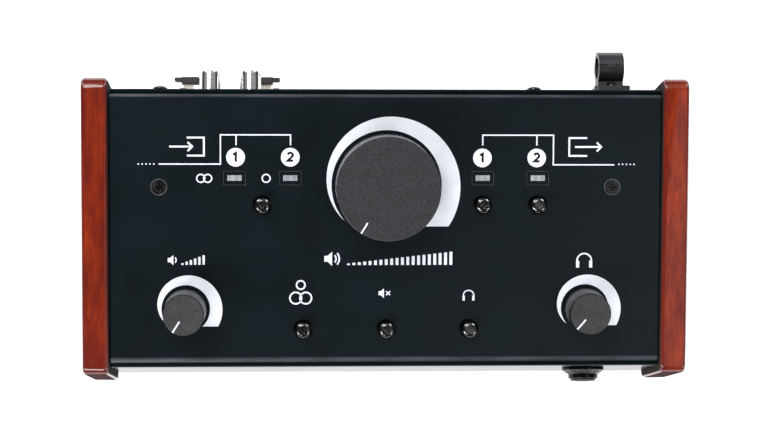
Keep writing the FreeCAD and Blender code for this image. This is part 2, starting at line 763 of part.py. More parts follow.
def pointer_bar(name):
    """The bar of paint-filled groove on a knob's top, from near its middle out through its rim."""
    across, up = knob_places[name]
    radius, height, wall, length, draft = knob_sizes[name]
    top_radius = radius - draft
    bar = block(-pointer_width / 2.0, pointer_width / 2.0, -top_radius - knob_edge, -top_radius + length,
                height - pointer_depth, height)
    bar.rotate(Vector(0, 0, 0), ALONG_Z, -pointer_angle)
    return moved(bar, across, up, 0)


def knob_outside(name):
    """The knob's outer form: a slight taper with a small chamfer round its top."""
    across, up = knob_places[name]
    radius, height, wall, length, draft = knob_sizes[name]
    top_radius = radius - draft
    body = frustum(radius, top_radius, height - knob_edge - knob_float, Vector(across, up, knob_float))
    edge = frustum(top_radius, top_radius - knob_edge, knob_edge, Vector(across, up, height - knob_edge))
    return joined([body, edge])


def make_knob(name):
    across, up = knob_places[name]
    radius, height, wall, length, draft = knob_sizes[name]
    hollow_top = shaft_rise - knob_ceiling
    boss_low = bushing_rise + knob_float
    hollow = rod(radius - wall, hollow_top - knob_float, Vector(across, up, knob_float))
    boss = rod(knob_boss_radius, hollow_top - boss_low, Vector(across, up, boss_low))
    knob = knob_outside(name).cut(hollow.cut(boss))
    knob = knob.cut(rod(shaft_radius, shaft_rise - knob_float, Vector(across, up, knob_float)))
    return on_cover(knob.cut(pointer_bar(name)))


def make_pointer(name):
    return on_cover(pointer_bar(name).common(knob_outside(name)))


# ---------------------------------------------------------------- buttons, switches and lights


def make_button(name):
    """A button: domed round cap, stem, and the collar that keeps it in its switch."""
    across, up = button_places[name]
    cap = rod(button_radius, button_rise + button_skirt, Vector(across, up, -button_skirt))
    rim = [e for e in cap.Edges if e.Closed and e.CenterOfMass.z > button_rise - near]
    cap = cap.makeFillet(button_dome, rim)
    roof = board_out + switch_height
    collar_top = roof - switch_roof - slide_clearance
    stem = rod(stem_radius, -button_skirt - collar_top, Vector(across, up, collar_top))
    collar = rod(stem_collar_radius, stem_collar_thickness,
                 Vector(across, up, collar_top - stem_collar_thickness))
    return on_cover(joined([cap, stem, collar]))


def make_switch(name):
    across, up = button_places[name]
    half = switch_side / 2.0
    housing = block(across - half, across + half, up - half, up + half, board_out, board_out + switch_height)
    cavity_floor = Vector(across, up, board_out + switch_floor)
    housing = housing.cut(rod(stem_radius + slide_clearance, switch_height, cavity_floor))
    cavity = rod(stem_collar_radius + slide_clearance, switch_height - switch_roof - switch_floor,
                 cavity_floor)
    return on_cover(housing.cut(cavity))


def make_spring(name):
    """The coil that returns a button, from the switch's floor to the stem's collar."""
    across, up = button_places[name]
    low = board_out + switch_floor
    collar_low = board_out + switch_height - switch_roof - slide_clearance - stem_collar_thickness
    height = collar_low - low - 2 * spring_wire
    helix = Part.makeHelix(height / spring_turns, height, spring_radius)
    circle = Part.Wire(Part.makeCircle(spring_wire, Vector(spring_radius, 0, 0), ALONG_Y))
    coil = Part.Wire(helix).makePipeShell([circle], True, True)
    return on_cover(moved(coil, across, up, low + spring_wire))


def make_light_guide(place):
    across, up = place
    half_w, half_h = lamp_width / 2.0, lamp_height / 2.0
    guide = block(across - half_w, across + half_w, up - half_h, up + half_h,
                  board_out + led_size[2] + lamp_guide_gap, -lamp_frame_depth)
    shoulder = block(across - half_w - lamp_rim, across + half_w + lamp_rim, up - half_h - lamp_rim,
                     up + half_h + lamp_rim, -sheet - lamp_rim_thickness, -sheet)
    return on_cover(joined([guide, shoulder]))


def make_led(place):
    across, up = place
    w, d, h = led_size
    return on_cover(block(across - w / 2.0, across + w / 2.0, up - d / 2.0, up + d / 2.0, board_out,
                          board_out + h))


# ---------------------------------------------------------------- boards


def make_control_board():
    board = block(-control_board_half_width, control_board_half_width, control_board_front,
                  control_board_rear,
                  board_under, board_out)
    for across, up in standoff_places:
        board = board.cut(rod(screw_radius, board_thickness, Vector(across, up, board_under)))
    return on_cover(board)


def make_connector_board():
    return block(-connector_board_half_width, connector_board_half_width,
                 connector_board_face - board_thickness,
                 connector_board_face, floor_low + connector_board_low, connector_board_high)


def make_standoff(place):
    across, up = place
    length = board_drop - sheet
    post = hexagon(standoff_flats, length, Vector(across, up, board_out))
    return on_cover(post.cut(rod(screw_radius, length, Vector(across, up, board_out))))


def make_board_screw(place):
    across, up = place
    return on_cover(pan_screw(Vector(across, up, board_under), ALONG_Z, board_thickness + standoff_bite))


def make_chips():
    """Amplifier chips under the control board."""
    w, d, h = chip_size
    chips = []
    for across in chip_across:
        for up in chip_rows:
            body = block(across - w / 2.0, across + w / 2.0, up - d / 2.0, up + d / 2.0, board_under - h,
                         board_under)
            bottom = [e for e in body.Edges if e.CenterOfMass.z < board_under - h + near]
            chips.append(on_cover(body.makeChamfer(chip_bevel, bottom)))
    return chips


def make_capacitors():
    cans = []
    for across in capacitor_across:
        for up in capacitor_rows:
            can = rod(capacitor_radius, capacitor_height, Vector(across, up, board_under), ALONG_Z * -1.0)
            bottom = board_under - capacitor_height
            low = [e for e in can.Edges if e.Closed and e.CenterOfMass.z < bottom + near]
            cans.append(on_cover(can.makeFillet(capacitor_rounding, low)))
    return cans


def make_ribbon():
    """The ribbon cable between the boards, with its two plugs."""
    plug_half = ribbon_width / 2.0 + ribbon_plug_margin
    face = connector_board_face - board_thickness
    upper_plug = on_cover(block(-plug_half, plug_half, ribbon_up - ribbon_plug_thickness / 2.0,
                                ribbon_up + ribbon_plug_thickness / 2.0, board_under - ribbon_plug_height,
                                board_under))
    lower_plug = block(-plug_half, plug_half, face - ribbon_plug_height, face,
                       ribbon_low - ribbon_plug_thickness / 2.0, ribbon_low + ribbon_plug_thickness / 2.0)
    start = cover_frame.multVec(Vector(0, ribbon_up, board_under - ribbon_plug_height))
    half = ribbon_thickness / 2.0
    plug_face = face - ribbon_plug_height
    outline = [(start.y - half, start.z), (start.y - half, ribbon_low - half), (plug_face, ribbon_low - half),
               (plug_face, ribbon_low + half), (start.y + half, ribbon_low + half), (start.y + half, start.z)]
    cable = prism_along_x(outline, -ribbon_width / 2.0, ribbon_width / 2.0)
    for side, radius in ((-1, ribbon_bend + ribbon_thickness), (1, ribbon_bend)):
        bend = [e for e in cable.Edges if abs(e.tangentAt(0).x) > 0.99
                and abs(e.CenterOfMass.y - start.y - side * half) < near
                and abs(e.CenterOfMass.z - ribbon_low - side * half) < near]
        cable = cable.makeFillet(radius, bend)
    return [cable.cut(upper_plug), upper_plug, lower_plug]


# ---------------------------------------------------------------- rear connectors


def make_flanged_barrel(x, bore):
    """The metal shell of a round panel connector: flange outside the panel, barrel inside, open mouth."""
    flange = rounded_plate_y(x - flange_width / 2.0, x + flange_width / 2.0, rear_face, flange_face,
                             connector_z - flange_height / 2.0, connector_z + flange_height / 2.0,
                             flange_corner)
    back = Vector(x, connector_board_face, connector_z)
    barrel = rod(barrel_radius, flange_face - connector_board_face, back, ALONG_Y)
    shell = joined([flange, barrel])
    mouth_floor = connector_board_face + barrel_floor
    shell = shell.cut(rod(bore, flange_face - mouth_floor + overshoot, Vector(x, mouth_floor, connector_z),
                          ALONG_Y))
    for sx, sz in flange_screw_places(x):
        shell = shell.cut(rod(screw_radius, flange_thickness, Vector(sx, rear_face, sz), ALONG_Y))
    return shell


def latch_pivot():
    return Vector(0, rear_face - latch_pivot_depth, latch_z)


def make_combo(x):
    """A combined microphone and jack socket: its latch turns between two ears on top of the barrel."""
    shell = make_flanged_barrel(x, combo_bore)
    pivot = latch_pivot()
    for side in (-1, 1):
        inner = latch_width / 2.0 + latch_slot_above
        sides = sorted((x + side * inner, x + side * (inner + latch_ear_thickness)))
        ear = block(sides[0], sides[1], pivot.y - latch_ear_front, rear_face - sheet, connector_z,
                    latch_z + latch_ear_above)
        ear = ear.cut(rod(latch_pivot_radius + shaft_clearance, 4 * latch_ear_thickness,
                          Vector(sides[0] - latch_ear_thickness, pivot.y, pivot.z), ALONG_X))
        ear = ear.cut(rod(combo_bore, connector_depth + sheet, Vector(x, connector_board_face, connector_z),
                          ALONG_Y))
        shell = shell.fuse(ear)
    return shell.removeSplitter().cut(latch_slot(x, rear_face - sheet, flange_face + overshoot))


def contact_places(x, y, first_angle):
    """Three places round a socket's axis, the first at first_angle degrees from +X towards +Z."""
    angles = [math.radians(first_angle + 120.0 * i) for i in range(3)]
    return [Vector(x + contact_ring_radius * math.cos(a), y, connector_z + contact_ring_radius * math.sin(a))
            for a in angles]


def make_combo_insert(x):
    """The plastic core of a combo socket, with its jack bore and three contact holes."""
    low = connector_board_face + barrel_floor
    core = rod(combo_core_radius, rear_face - low, Vector(x, low, connector_z), ALONG_Y)
    base = rod(combo_bore, sheet, Vector(x, low, connector_z), ALONG_Y)
    insert = joined([core, base])
    insert = insert.cut(rod(plug_bore, rear_face - low, Vector(x, low + sheet, connector_z), ALONG_Y))
    for spot in contact_places(x, low + sheet, 30.0):
        insert = insert.cut(rod(contact_hole_radius, rear_face - low, spot, ALONG_Y))
    return insert


def make_latch(x, side):
    """A socket's release latch: trunnions, a metal tongue and a thumb piece with a lip to one side."""
    pivot = latch_pivot()
    half = latch_width / 2.0
    thin = latch_thickness / 2.0
    tip = rear_face + latch_reach
    tongue = block(x - half, x + half, pivot.y - latch_heel, tip - latch_thumb[1], latch_z - thin,
                   latch_z + thin)
    trunnion = rod(latch_pivot_radius, 2 * latch_pivot_half, Vector(x - latch_pivot_half, pivot.y, pivot.z),
                   ALONG_X)
    thumb_half = latch_thumb[0] / 2.0
    middle = x - side * latch_thumb_shift
    thumb = block(middle - thumb_half, middle + thumb_half, tip - latch_thumb[1], tip,
                  latch_z - latch_thumb[2] / 2.0, latch_z + latch_thumb[2] / 2.0)
    thumb = thumb.makeFillet(latch_thumb_rounding, thumb.Edges)
    ends = sorted((middle + side * (thumb_half - latch_lip_root),
                   middle + side * (thumb_half + latch_lip[0])))
    lip_face = tip - latch_lip_setback
    lip = block(ends[0], ends[1], lip_face - latch_lip[1], lip_face, latch_z - latch_lip[2] / 2.0,
                latch_z + latch_lip[2] / 2.0)
    lip = lip.makeFillet(latch_lip_rounding, [e for e in lip.Edges if abs(e.tangentAt(0).z) > 0.99
                                              and (e.CenterOfMass.x - middle) * side > thumb_half])
    return joined([tongue, trunnion, thumb, lip])


def output_pin_places(x):
    return contact_places(x, connector_board_face + barrel_floor, 90.0)


def make_output_insert(x):
    insert = rod(output_bore, output_insert_thickness,
                 Vector(x, connector_board_face + barrel_floor, connector_z),
                 ALONG_Y)
    for spot in output_pin_places(x):
        insert = insert.cut(rod(pin_radius, output_insert_thickness, spot, ALONG_Y))
    return insert


def make_output_pins():
    pins = []
    for x in output_places:
        for spot in output_pin_places(x):
            pin = rod(pin_radius, rear_face - pin_setback - spot.y, spot, ALONG_Y)
            tip = [e for e in pin.Edges if e.Closed and e.CenterOfMass.y > rear_face - pin_setback - near]
            pins.append(pin.makeFillet(pin_tip_rounding, tip))
    return pins


def phono_screw_seats():
    return [Vector(phono_x + side * phono_screw_x, rear_face, phono_z + phono_screw_rise) for side in (-1, 1)]


def make_connector_screws():
    screws = []
    for x in combo_places + output_places:
        for sx, sz in flange_screw_places(x):
            screws.append(pan_screw(Vector(sx, flange_face, sz), ALONG_Y * -1.0,
                                    flange_thickness + 3 * sheet))
    for seat in phono_screw_seats():
        screws.append(pan_screw(seat, ALONG_Y * -1.0, 4 * sheet, head_height=phono_screw_head))
    return screws


def make_phono_housing():
    """The black block behind the phono sockets, with a collar round each that comes through the panel."""
    wall = rear_face - sheet
    housing = block(phono_x - phono_block_half, phono_x + phono_block_half, connector_board_face, wall,
                    phono_z - phono_block_height / 2.0, phono_z + phono_block_height / 2.0)
    collars = [rod(phono_collar_radius, sheet + phono_collar_rise, Vector(x, wall, phono_z), ALONG_Y)
               for x in phono_places]
    housing = joined([housing] + collars)
    for x in phono_places:
        housing = housing.cut(rod(phono_neck_radius, 4 * sheet, Vector(x, wall - sheet, phono_z), ALONG_Y))
    for seat in phono_screw_seats():
        housing = housing.cut(rod(screw_radius, 4 * sheet, seat, ALONG_Y * -1.0))
    return housing


def make_phono_shell(x):
    """A barrel that steps up to its full radius where it leaves the collar round it."""
    back = rear_face - 2 * sheet
    step = rear_face + phono_collar_rise
    neck = rod(phono_neck_radius, step - back, Vector(x, back, phono_z), ALONG_Y)
    shell = neck.fuse(rod(phono_shell_radius, phono_reach - phono_collar_rise, Vector(x, step, phono_z),
                          ALONG_Y))
    mouth = [e for e in shell.Edges if e.Closed and e.CenterOfMass.y > rear_face + phono_reach - near]
    shell = shell.makeFillet(phono_mouth_rounding, mouth)
    return shell.cut(rod(phono_shell_bore, rear_face + phono_reach - back, Vector(x, back, phono_z), ALONG_Y))


def make_phono_core(x):
    back = rear_face - 2 * sheet
    core = rod(phono_shell_bore, rear_face + phono_core_reach - back, Vector(x, back, phono_z), ALONG_Y)
    return core.cut(rod(phono_pin_bore, phono_core_reach + sheet, Vector(x, rear_face - sheet, phono_z),
                        ALONG_Y))


def make_power_inlet():
    """The power inlet: a black block with a framed mouth, a round bore and the centre pin inside it."""
    body = block(power_x - power_half_width, power_x + power_half_width, connector_board_face, rear_face,
                 power_z - power_half_height, power_z + power_half_height)
    half_width = power_half_width + power_frame
    half_height = power_half_height + power_frame
    frame = rounded_plate_y(power_x - half_width, power_x + half_width, rear_face, rear_face + power_frame,
                            power_z - half_height, power_z + half_height, power_frame)
    inlet = joined([body, frame])
    floor = rear_face + power_frame - power_bore_depth
    inlet = inlet.cut(rod(power_bore, power_bore_depth, Vector(power_x, floor, power_z), ALONG_Y))
    pin_root = floor - power_pin_radius
    return inlet.fuse(rod(power_pin_radius, rear_face - pin_root, Vector(power_x, pin_root, power_z),
                          ALONG_Y))


# ---------------------------------------------------------------- cable clip


def clip_ring(x0, x1, radius):
    return rod(radius, x1 - x0, Vector(x0, rear_face + clip_hole_reach, clip_z), ALONG_X)


def clip_hinge():
    return Vector(0, rear_face + clip_hole_reach, clip_z - clip_hole_radius - clip_strap / 2.0)


def clip_spans():
    """The X spans of the hinge's knuckles: two fixed ones with the gate's between them."""
    x0 = clip_x - clip_width / 2.0
    x1 = clip_x + clip_width / 2.0
    mid0 = clip_x - clip_knuckle_width / 2.0
    mid1 = clip_x + clip_knuckle_width / 2.0
    return x0, mid0, mid1, x1


def clip_tab(gap):
    """The gate's catch, which drops into a notch in the fixed half. gap widens it into the notch."""
    top = clip_z + clip_outer_radius
    split = rear_face + clip_hole_reach
    return block(clip_x - clip_tab_half_width - gap, clip_x + clip_tab_half_width + gap,
                 split - clip_tab_length - gap, split + clip_split, top - clip_tab_depth - gap,
                 top + clip_strap)


def clip_screw_seat():
    return Vector(clip_x, rear_face + clip_flange_thickness, clip_z + clip_screw_rise)


def make_clip_base():
    """The clip's fixed half: flange on the rear panel, neck, inner half of the ring, two hinge knuckles."""
    x0, mid0, mid1, x1 = clip_spans()
    split = rear_face + clip_hole_reach
    hinge = clip_hinge()
    flange = rounded_plate_y(clip_x - clip_flange_half_width, clip_x + clip_flange_half_width, rear_face,
                             rear_face + clip_flange_thickness, clip_z - clip_flange_half_height,
                             clip_z + clip_flange_half_height, clip_corner)
    neck_z = clip_z - clip_neck_drop
    neck = block(x0, x1, rear_face, split - clip_hole_radius, neck_z - clip_neck_height / 2.0,
                 neck_z + clip_neck_height / 2.0)
    half = clip_ring(x0, x1, clip_outer_radius).common(
        block(x0, x1, rear_face, split - clip_split, clip_z - clip_outer_radius, clip_z + clip_outer_radius))
    base = joined([flange, neck, half])
    base = base.cut(clip_ring(x0 - overshoot, x1 + overshoot, clip_hole_radius)).cut(clip_tab(clip_split))
    room = clip_knuckle_radius + clip_split
    base = base.cut(rod(room, mid1 - mid0 + 2 * clip_split, Vector(mid0 - clip_split, hinge.y, hinge.z),
                        ALONG_X))
    for a, b in ((x0, mid0 - clip_split), (mid1 + clip_split, x1)):
        knuckle = rod(clip_knuckle_radius, b - a, Vector(a, hinge.y, hinge.z), ALONG_X)
        base = base.fuse(knuckle.cut(clip_ring(a, b, clip_hole_radius)))
    base = base.removeSplitter()
    base = base.cut(rod(clip_pin_radius + shaft_clearance, clip_width, Vector(x0, hinge.y, hinge.z), ALONG_X))
    seat = clip_screw_seat()
    base = base.cut(rod(screw_head_radius + slide_clearance, clip_neck_length, seat, ALONG_Y))
    return base.cut(rod(screw_radius, clip_flange_thickness, seat, ALONG_Y * -1.0))


def make_clip_gate():
    """The clip's gate: outer half of the ring, catch, knuckle and the hinge pin moulded into it."""
    x0, mid0, mid1, x1 = clip_spans()
    split = rear_face + clip_hole_reach
    hinge = clip_hinge()
    gate = clip_ring(x0, x1, clip_outer_radius).common(
        block(x0, x1, split + clip_split, split + clip_outer_radius, clip_z - clip_outer_radius,
              clip_z + clip_outer_radius))
    tab = clip_tab(0.0).common(clip_ring(x0, x1, clip_outer_radius))
    gate = joined([gate, tab]).cut(clip_ring(x0, x1, clip_hole_radius))
    room = clip_knuckle_radius + clip_split
    for a, b in ((x0, mid0), (mid1, x1)):
        gate = gate.cut(rod(room, b - a, Vector(a, hinge.y, hinge.z), ALONG_X))
    knuckle = rod(clip_knuckle_radius, mid1 - mid0, Vector(mid0, hinge.y, hinge.z), ALONG_X)
    knuckle = knuckle.cut(clip_ring(mid0, mid1, clip_hole_radius))
    pin = rod(clip_pin_radius, x1 - x0, Vector(x0, hinge.y, hinge.z), ALONG_X)
    return joined([gate, knuckle, pin])


def make_clip_screw():
    return pan_screw(clip_screw_seat(), ALONG_Y * -1.0, clip_flange_thickness + 3 * sheet)


# ---------------------------------------------------------------- headphone jack


def make_jack_body():
    """The jack: body behind the front panel and threaded bushing through it, with one bore for the plug."""
    wall = front_face + sheet
    body = block(jack_x - jack_body_half_width, jack_x + jack_body_half_width, wall, wall + jack_body_depth,
                 jack_body_low, jack_body_high)
    bushing = rod(jack_bushing_radius, jack_nose + sheet, Vector(jack_x, front_face - jack_nose, jack_z),
                  ALONG_Y)
    mouth = [e for e in bushing.Edges if e.Closed and e.CenterOfMass.y < front_face - jack_nose + near]
    jack = joined([body, bushing.makeFillet(jack_mouth_rounding, mouth)])
    depth = jack_nose + sheet + jack_body_depth - jack_wall
    return jack.cut(rod(plug_bore, depth, Vector(jack_x, front_face - jack_nose, jack_z), ALONG_Y))


def make_jack_nut():
    """The jack's nut: a cone that narrows towards the user."""
    base_radius = jack_bushing_radius + jack_nut_base_wall
    tip_radius = jack_bushing_radius + jack_nut_tip_wall
    band_face = front_face - jack_nut_band
    nose_root = front_face - jack_nut_length + jack_nut_nose
    nut = joined([
        rod(base_radius, jack_nut_band, Vector(jack_x, front_face, jack_z), ALONG_Y * -1.0),
        frustum(base_radius, tip_radius, band_face - nose_root, Vector(jack_x, band_face, jack_z),
                ALONG_Y * -1.0),
        rod(tip_radius, jack_nut_nose, Vector(jack_x, nose_root, jack_z), ALONG_Y * -1.0)])
    nut = nut.makeFillet(jack_nut_rounding, [e for e in nut.Edges if e.Closed])
    return nut.cut(rod(jack_bushing_radius, jack_nut_length, Vector(jack_x, front_face, jack_z),
                       ALONG_Y * -1.0))


def make_jack_contacts():
    """Three sprung contacts on the jack's body, each turned down behind it as a solder tag."""
    top = jack_body_high
    back = front_face + sheet + jack_body_depth
    contacts = []
    for i in (-1, 0, 1):
        x0 = jack_x + i * contact_pitch - contact_width / 2.0
        x1 = x0 + contact_width
        leaf = block(x0, x1, back - contact_length, back + contact_thickness, top, top + contact_thickness)
        tag = block(x0, x1, back, back + contact_thickness, top - contact_tag_length, top + contact_thickness)
        contacts.append(joined([leaf, tag]))
    return contacts


# ---------------------------------------------------------------- the parts

parts = {
    "left_cheek": [make_cheek(-1)],
    "right_cheek": [make_cheek(1)],
    "cheek_screws": make_cheek_screws(),
    "chassis": [make_chassis()],
    "top_cover": [make_cover()],
    "cover_screws": make_cover_screws(),
    "cover_brackets": [make_cover_bracket(-1), make_cover_bracket(1)],
    "rubber_feet": make_feet(),
    "foot_screws": make_foot_screws(),
    "light_guides": [make_light_guide(place) for place in lamp_places],
    "indicator_leds": [make_led(place) for place in lamp_places],
    "control_board": [make_control_board()],
    "connector_board": [make_connector_board()],
    "board_standoffs": [make_standoff(place) for place in standoff_places],
    "board_screws": [make_board_screw(place) for place in standoff_places],
    "amplifier_chips": make_chips(),
    "capacitors": make_capacitors(),
    "ribbon_cable": make_ribbon(),
    "potentiometer_bodies": [make_pot_body(name) for name in knob_places],
    "potentiometer_nuts": [make_pot_nut(name) for name in knob_places],
    "switch_housings": [make_switch(name) for name in button_places],
    "headphone_jack": [make_jack_body()],
    "headphone_jack_nut": [make_jack_nut()],
    "headphone_jack_contacts": make_jack_contacts(),
    "phono_housing": [make_phono_housing()],
    "phono_shells": [make_phono_shell(x) for x in phono_places],
    "phono_cores": [make_phono_core(x) for x in phono_places],
    "input_sockets": [make_combo(x) for x in combo_places],
    "input_socket_cores": [make_combo_insert(x) for x in combo_places],
    "output_sockets": [make_flanged_barrel(x, output_bore) for x in output_places],
    "output_socket_cores": [make_output_insert(x) for x in output_places],
    "output_socket_pins": make_output_pins(),
    "connector_screws": make_connector_screws(),
    "power_inlet": [make_power_inlet()],
    "cable_clip_base": [make_clip_base()],
    "cable_clip_gate": [make_clip_gate()],
    "cable_clip_screw": [make_clip_screw()],
    "left_latch": [make_latch(combo_places[0], -1)],
    "right_latch": [make_latch(combo_places[1], 1)],
}
for knob in knob_places:
    parts[knob + "_shaft"] = [make_shaft(knob)]
    parts[knob + "_knob"] = [make_knob(knob)]
    parts[knob + "_pointer"] = [make_pointer(knob)]
for button in button_places:
    parts[button + "_button"] = [make_button(button)]
    parts[button + "_spring"] = [make_spring(button)]

os.makedirs("parts", exist_ok=True)
for node, shapes in parts.items():
    solids = [solid for shape in shapes for solid in shape.Solids]
    result = solids[0] if len(solids) == 1 else Part.makeCompound(solids)
    result.exportStep("parts/" + node + ".step")
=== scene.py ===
"""Dressed scene of a studio monitor controller.

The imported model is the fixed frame. Each sub-assembly below is a class whose fields are its sizes, in metres, and
whose methods build its surfaces and dress them. Places on the sloping cover are worked out from the main knob's
joint: across is +X, up runs up the slope and out leaves the painted face. The row frame has +Y to the rear and +Z
up.
"""
import json
import logging
import math
from dataclasses import dataclass, field
from enum import Enum
from typing import Callable, Optional, Sequence

import bmesh
import bpy
import numpy as np
from mathutils import Euler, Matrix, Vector

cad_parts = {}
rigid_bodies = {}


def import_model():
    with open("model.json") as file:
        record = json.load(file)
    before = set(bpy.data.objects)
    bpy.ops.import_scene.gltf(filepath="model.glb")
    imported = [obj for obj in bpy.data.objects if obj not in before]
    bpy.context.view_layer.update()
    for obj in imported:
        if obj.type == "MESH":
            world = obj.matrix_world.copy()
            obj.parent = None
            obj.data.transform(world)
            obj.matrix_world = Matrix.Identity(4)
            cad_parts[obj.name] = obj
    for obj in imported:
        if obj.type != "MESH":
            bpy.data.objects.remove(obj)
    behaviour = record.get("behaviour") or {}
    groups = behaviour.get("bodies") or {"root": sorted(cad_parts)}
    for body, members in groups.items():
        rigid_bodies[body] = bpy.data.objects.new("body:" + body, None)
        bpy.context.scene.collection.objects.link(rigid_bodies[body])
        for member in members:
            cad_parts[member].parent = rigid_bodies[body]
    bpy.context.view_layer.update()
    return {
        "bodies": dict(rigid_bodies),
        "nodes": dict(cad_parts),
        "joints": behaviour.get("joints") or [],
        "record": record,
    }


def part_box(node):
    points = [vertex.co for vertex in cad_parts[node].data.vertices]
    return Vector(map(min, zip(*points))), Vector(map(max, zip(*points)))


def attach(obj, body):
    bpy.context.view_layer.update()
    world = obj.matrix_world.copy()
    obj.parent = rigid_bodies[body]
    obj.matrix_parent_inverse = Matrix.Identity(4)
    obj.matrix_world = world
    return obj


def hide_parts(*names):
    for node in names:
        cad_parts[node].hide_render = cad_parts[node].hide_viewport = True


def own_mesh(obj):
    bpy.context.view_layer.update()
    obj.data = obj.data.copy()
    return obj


log = logging.getLogger("monitor_controller")
MM = 0.001
Colour = tuple[float, float, float, float]
Triple = tuple[float, float, float]
Pair = tuple[float, float]
Socket = bpy.types.NodeSocket


def srgb(red: float, green: float, blue: float) -> Colour:
    """Turns a display colour from 0 to 255 into the linear colour that shaders take.

    Args:
        red, green, blue: the display colour's channels.

    Returns:
        The linear colour with full alpha.
    """
    def linear(channel: float) -> float:
        """Undoes the display curve of one channel."""
        share = channel / 255.0
        return share / 12.92 if share <= 0.04045 else ((share + 0.055) / 1.055) ** 2.4

    return (linear(red), linear(green), linear(blue), 1.0)


# ------------------------------------------------------------------ surfaces


class End(Enum):
    """How the first and last row of a grid of points are closed."""

    FACE = "face"
    POLE = "pole"


@dataclass
class Skin:
    """The points and faces of one or more closed surfaces."""

    points: np.ndarray
    faces: list[list[int]]

    @staticmethod
    def merged(skins: Sequence["Skin"]) -> "Skin":
        """Puts several skins into one, each with its own points.

        Args:
            skins: the skins.

        Returns:
            One skin with all their points and faces.
        """
        points, faces, start = [], [], 0
        for skin in skins:
            points.append(skin.points)
            faces += [[start + i for i in face] for face in skin.faces]
            start += len(skin.points)
        return Skin(np.concatenate(points), faces)


def grid_skin(grid: np.ndarray, wrap_rows: bool = False, end: End = End.FACE) -> Skin:
    """Makes a closed surface from a grid of points whose columns run round it.

    Point (i, j) joins its neighbours (i + 1, j) and (i, j + 1) in four-sided faces. The columns always close on
    themselves. The rows do so too where wrap_rows is set, and otherwise the first and last row are closed by a
    flat face, or by a fan of triangles to the middle of the row.

    Args:
        grid: points as an array of rows, columns and 3 coordinates.
        wrap_rows: whether the last row joins the first.
        end: how the first and last row are closed when they don't join.

    Returns:
        The closed surface.
    """
    rows, columns = grid.shape[:2]
    index = np.arange(rows * columns).reshape(rows, columns)
    lower = index if wrap_rows else index[:-1]
    upper = np.roll(index, -1, axis=0) if wrap_rows else index[1:]
    quads = np.stack([lower, np.roll(lower, -1, axis=1), np.roll(upper, -1, axis=1), upper], axis=-1)
    faces = quads.reshape(-1, 4).tolist()
    points = grid.reshape(-1, 3)
    if not wrap_rows and end is End.FACE:
        faces += [index[0, ::-1].tolist(), index[-1].tolist()]
    if not wrap_rows and end is End.POLE:
        for row, way in ((index[0, ::-1], 0), (index[-1], 1)):
            pole = np.full(columns, len(points))
            points = np.concatenate([points, grid[-way].mean(axis=0)[None, :]])
            faces += np.stack([row, np.roll(row, -1), pole], axis=-1).tolist()
    return Skin(points, faces)


def lathe(profile: np.ndarray, columns: int = 96, wrap: bool = False,
          shape: Optional[Callable[[np.ndarray, np.ndarray], np.ndarray]] = None) -> Skin:
    """Turns a profile round the third axis.

    A profile point at radius r and height h, at the turn's angle a, goes to (r sin a, r cos a, h). The optional
    shape function takes the radii and angles as whole arrays and returns what is added to the heights.

    Args:
        profile: rows of radius and height.
        columns: steps round the turn.
        wrap: whether the profile is a closed loop, as for a ring.
        shape: what is added to the height at each radius and angle.

    Returns:
        The closed surface, in the lathe's own axes.
    """
    angle = np.linspace(0.0, 2.0 * np.pi, columns, endpoint=False)[None, :]
    radius = profile[:, :1] + 0.0 * angle
    height = profile[:, 1:2] + 0.0 * angle
    if shape is not None:
        height = height + shape(radius, angle + 0.0 * radius)
    grid = np.stack([radius * np.sin(angle), radius * np.cos(angle), height], axis=-1)
    return grid_skin(grid, wrap_rows=wrap, end=End.POLE)


def arc(centre: Sequence[float], radius: float, start: float, stop: float, steps: int = 10) -> np.ndarray:
    """Gives points on an arc: the centre plus the radius times the cosine and sine of angles in degrees."""
    angle = np.radians(np.linspace(start, stop, steps))
    return np.stack([centre[0] + radius * np.cos(angle), centre[1] + radius * np.sin(angle)], axis=-1)


def piece(name: str, skin: Skin, crease: float = 32.0) -> bpy.types.Object:
    """Makes a shown object from a skin, with its faces turned outwards and its soft edges shaded smooth.

    Args:
        name: the object's name.
        skin: its surface, in the row frame.
        crease: the angle in degrees past which an edge stays sharp.

    Returns:
        The object, which sits at the origin.
    """
    mesh = bpy.data.meshes.new(name)
    mesh.from_pydata(skin.points.tolist(), [], skin.faces)
    shell = bmesh.new()
    shell.from_mesh(mesh)
    bmesh.ops.recalc_face_normals(shell, faces=shell.faces)
    shell.to_mesh(mesh)
    shell.free()
    mesh.polygons.foreach_set("use_smooth", np.ones(len(mesh.polygons), dtype=bool))
    mesh.set_sharp_from_angle(angle=math.radians(crease))
    made = bpy.data.objects.new(name, mesh)
    bpy.context.scene.collection.objects.link(made)
    return made


def vertices(node: bpy.types.Object) -> np.ndarray:
    """Reads a node's points as rows of x, y and z in the row frame.

    Args:
        node: an object of the frame.

    Returns:
        One row for each point, in metres.
    """
    flat = np.empty(len(node.data.vertices) * 3, np.float32)
    node.data.vertices.foreach_get("co", flat)
    return flat.reshape(-1, 3).astype(float)


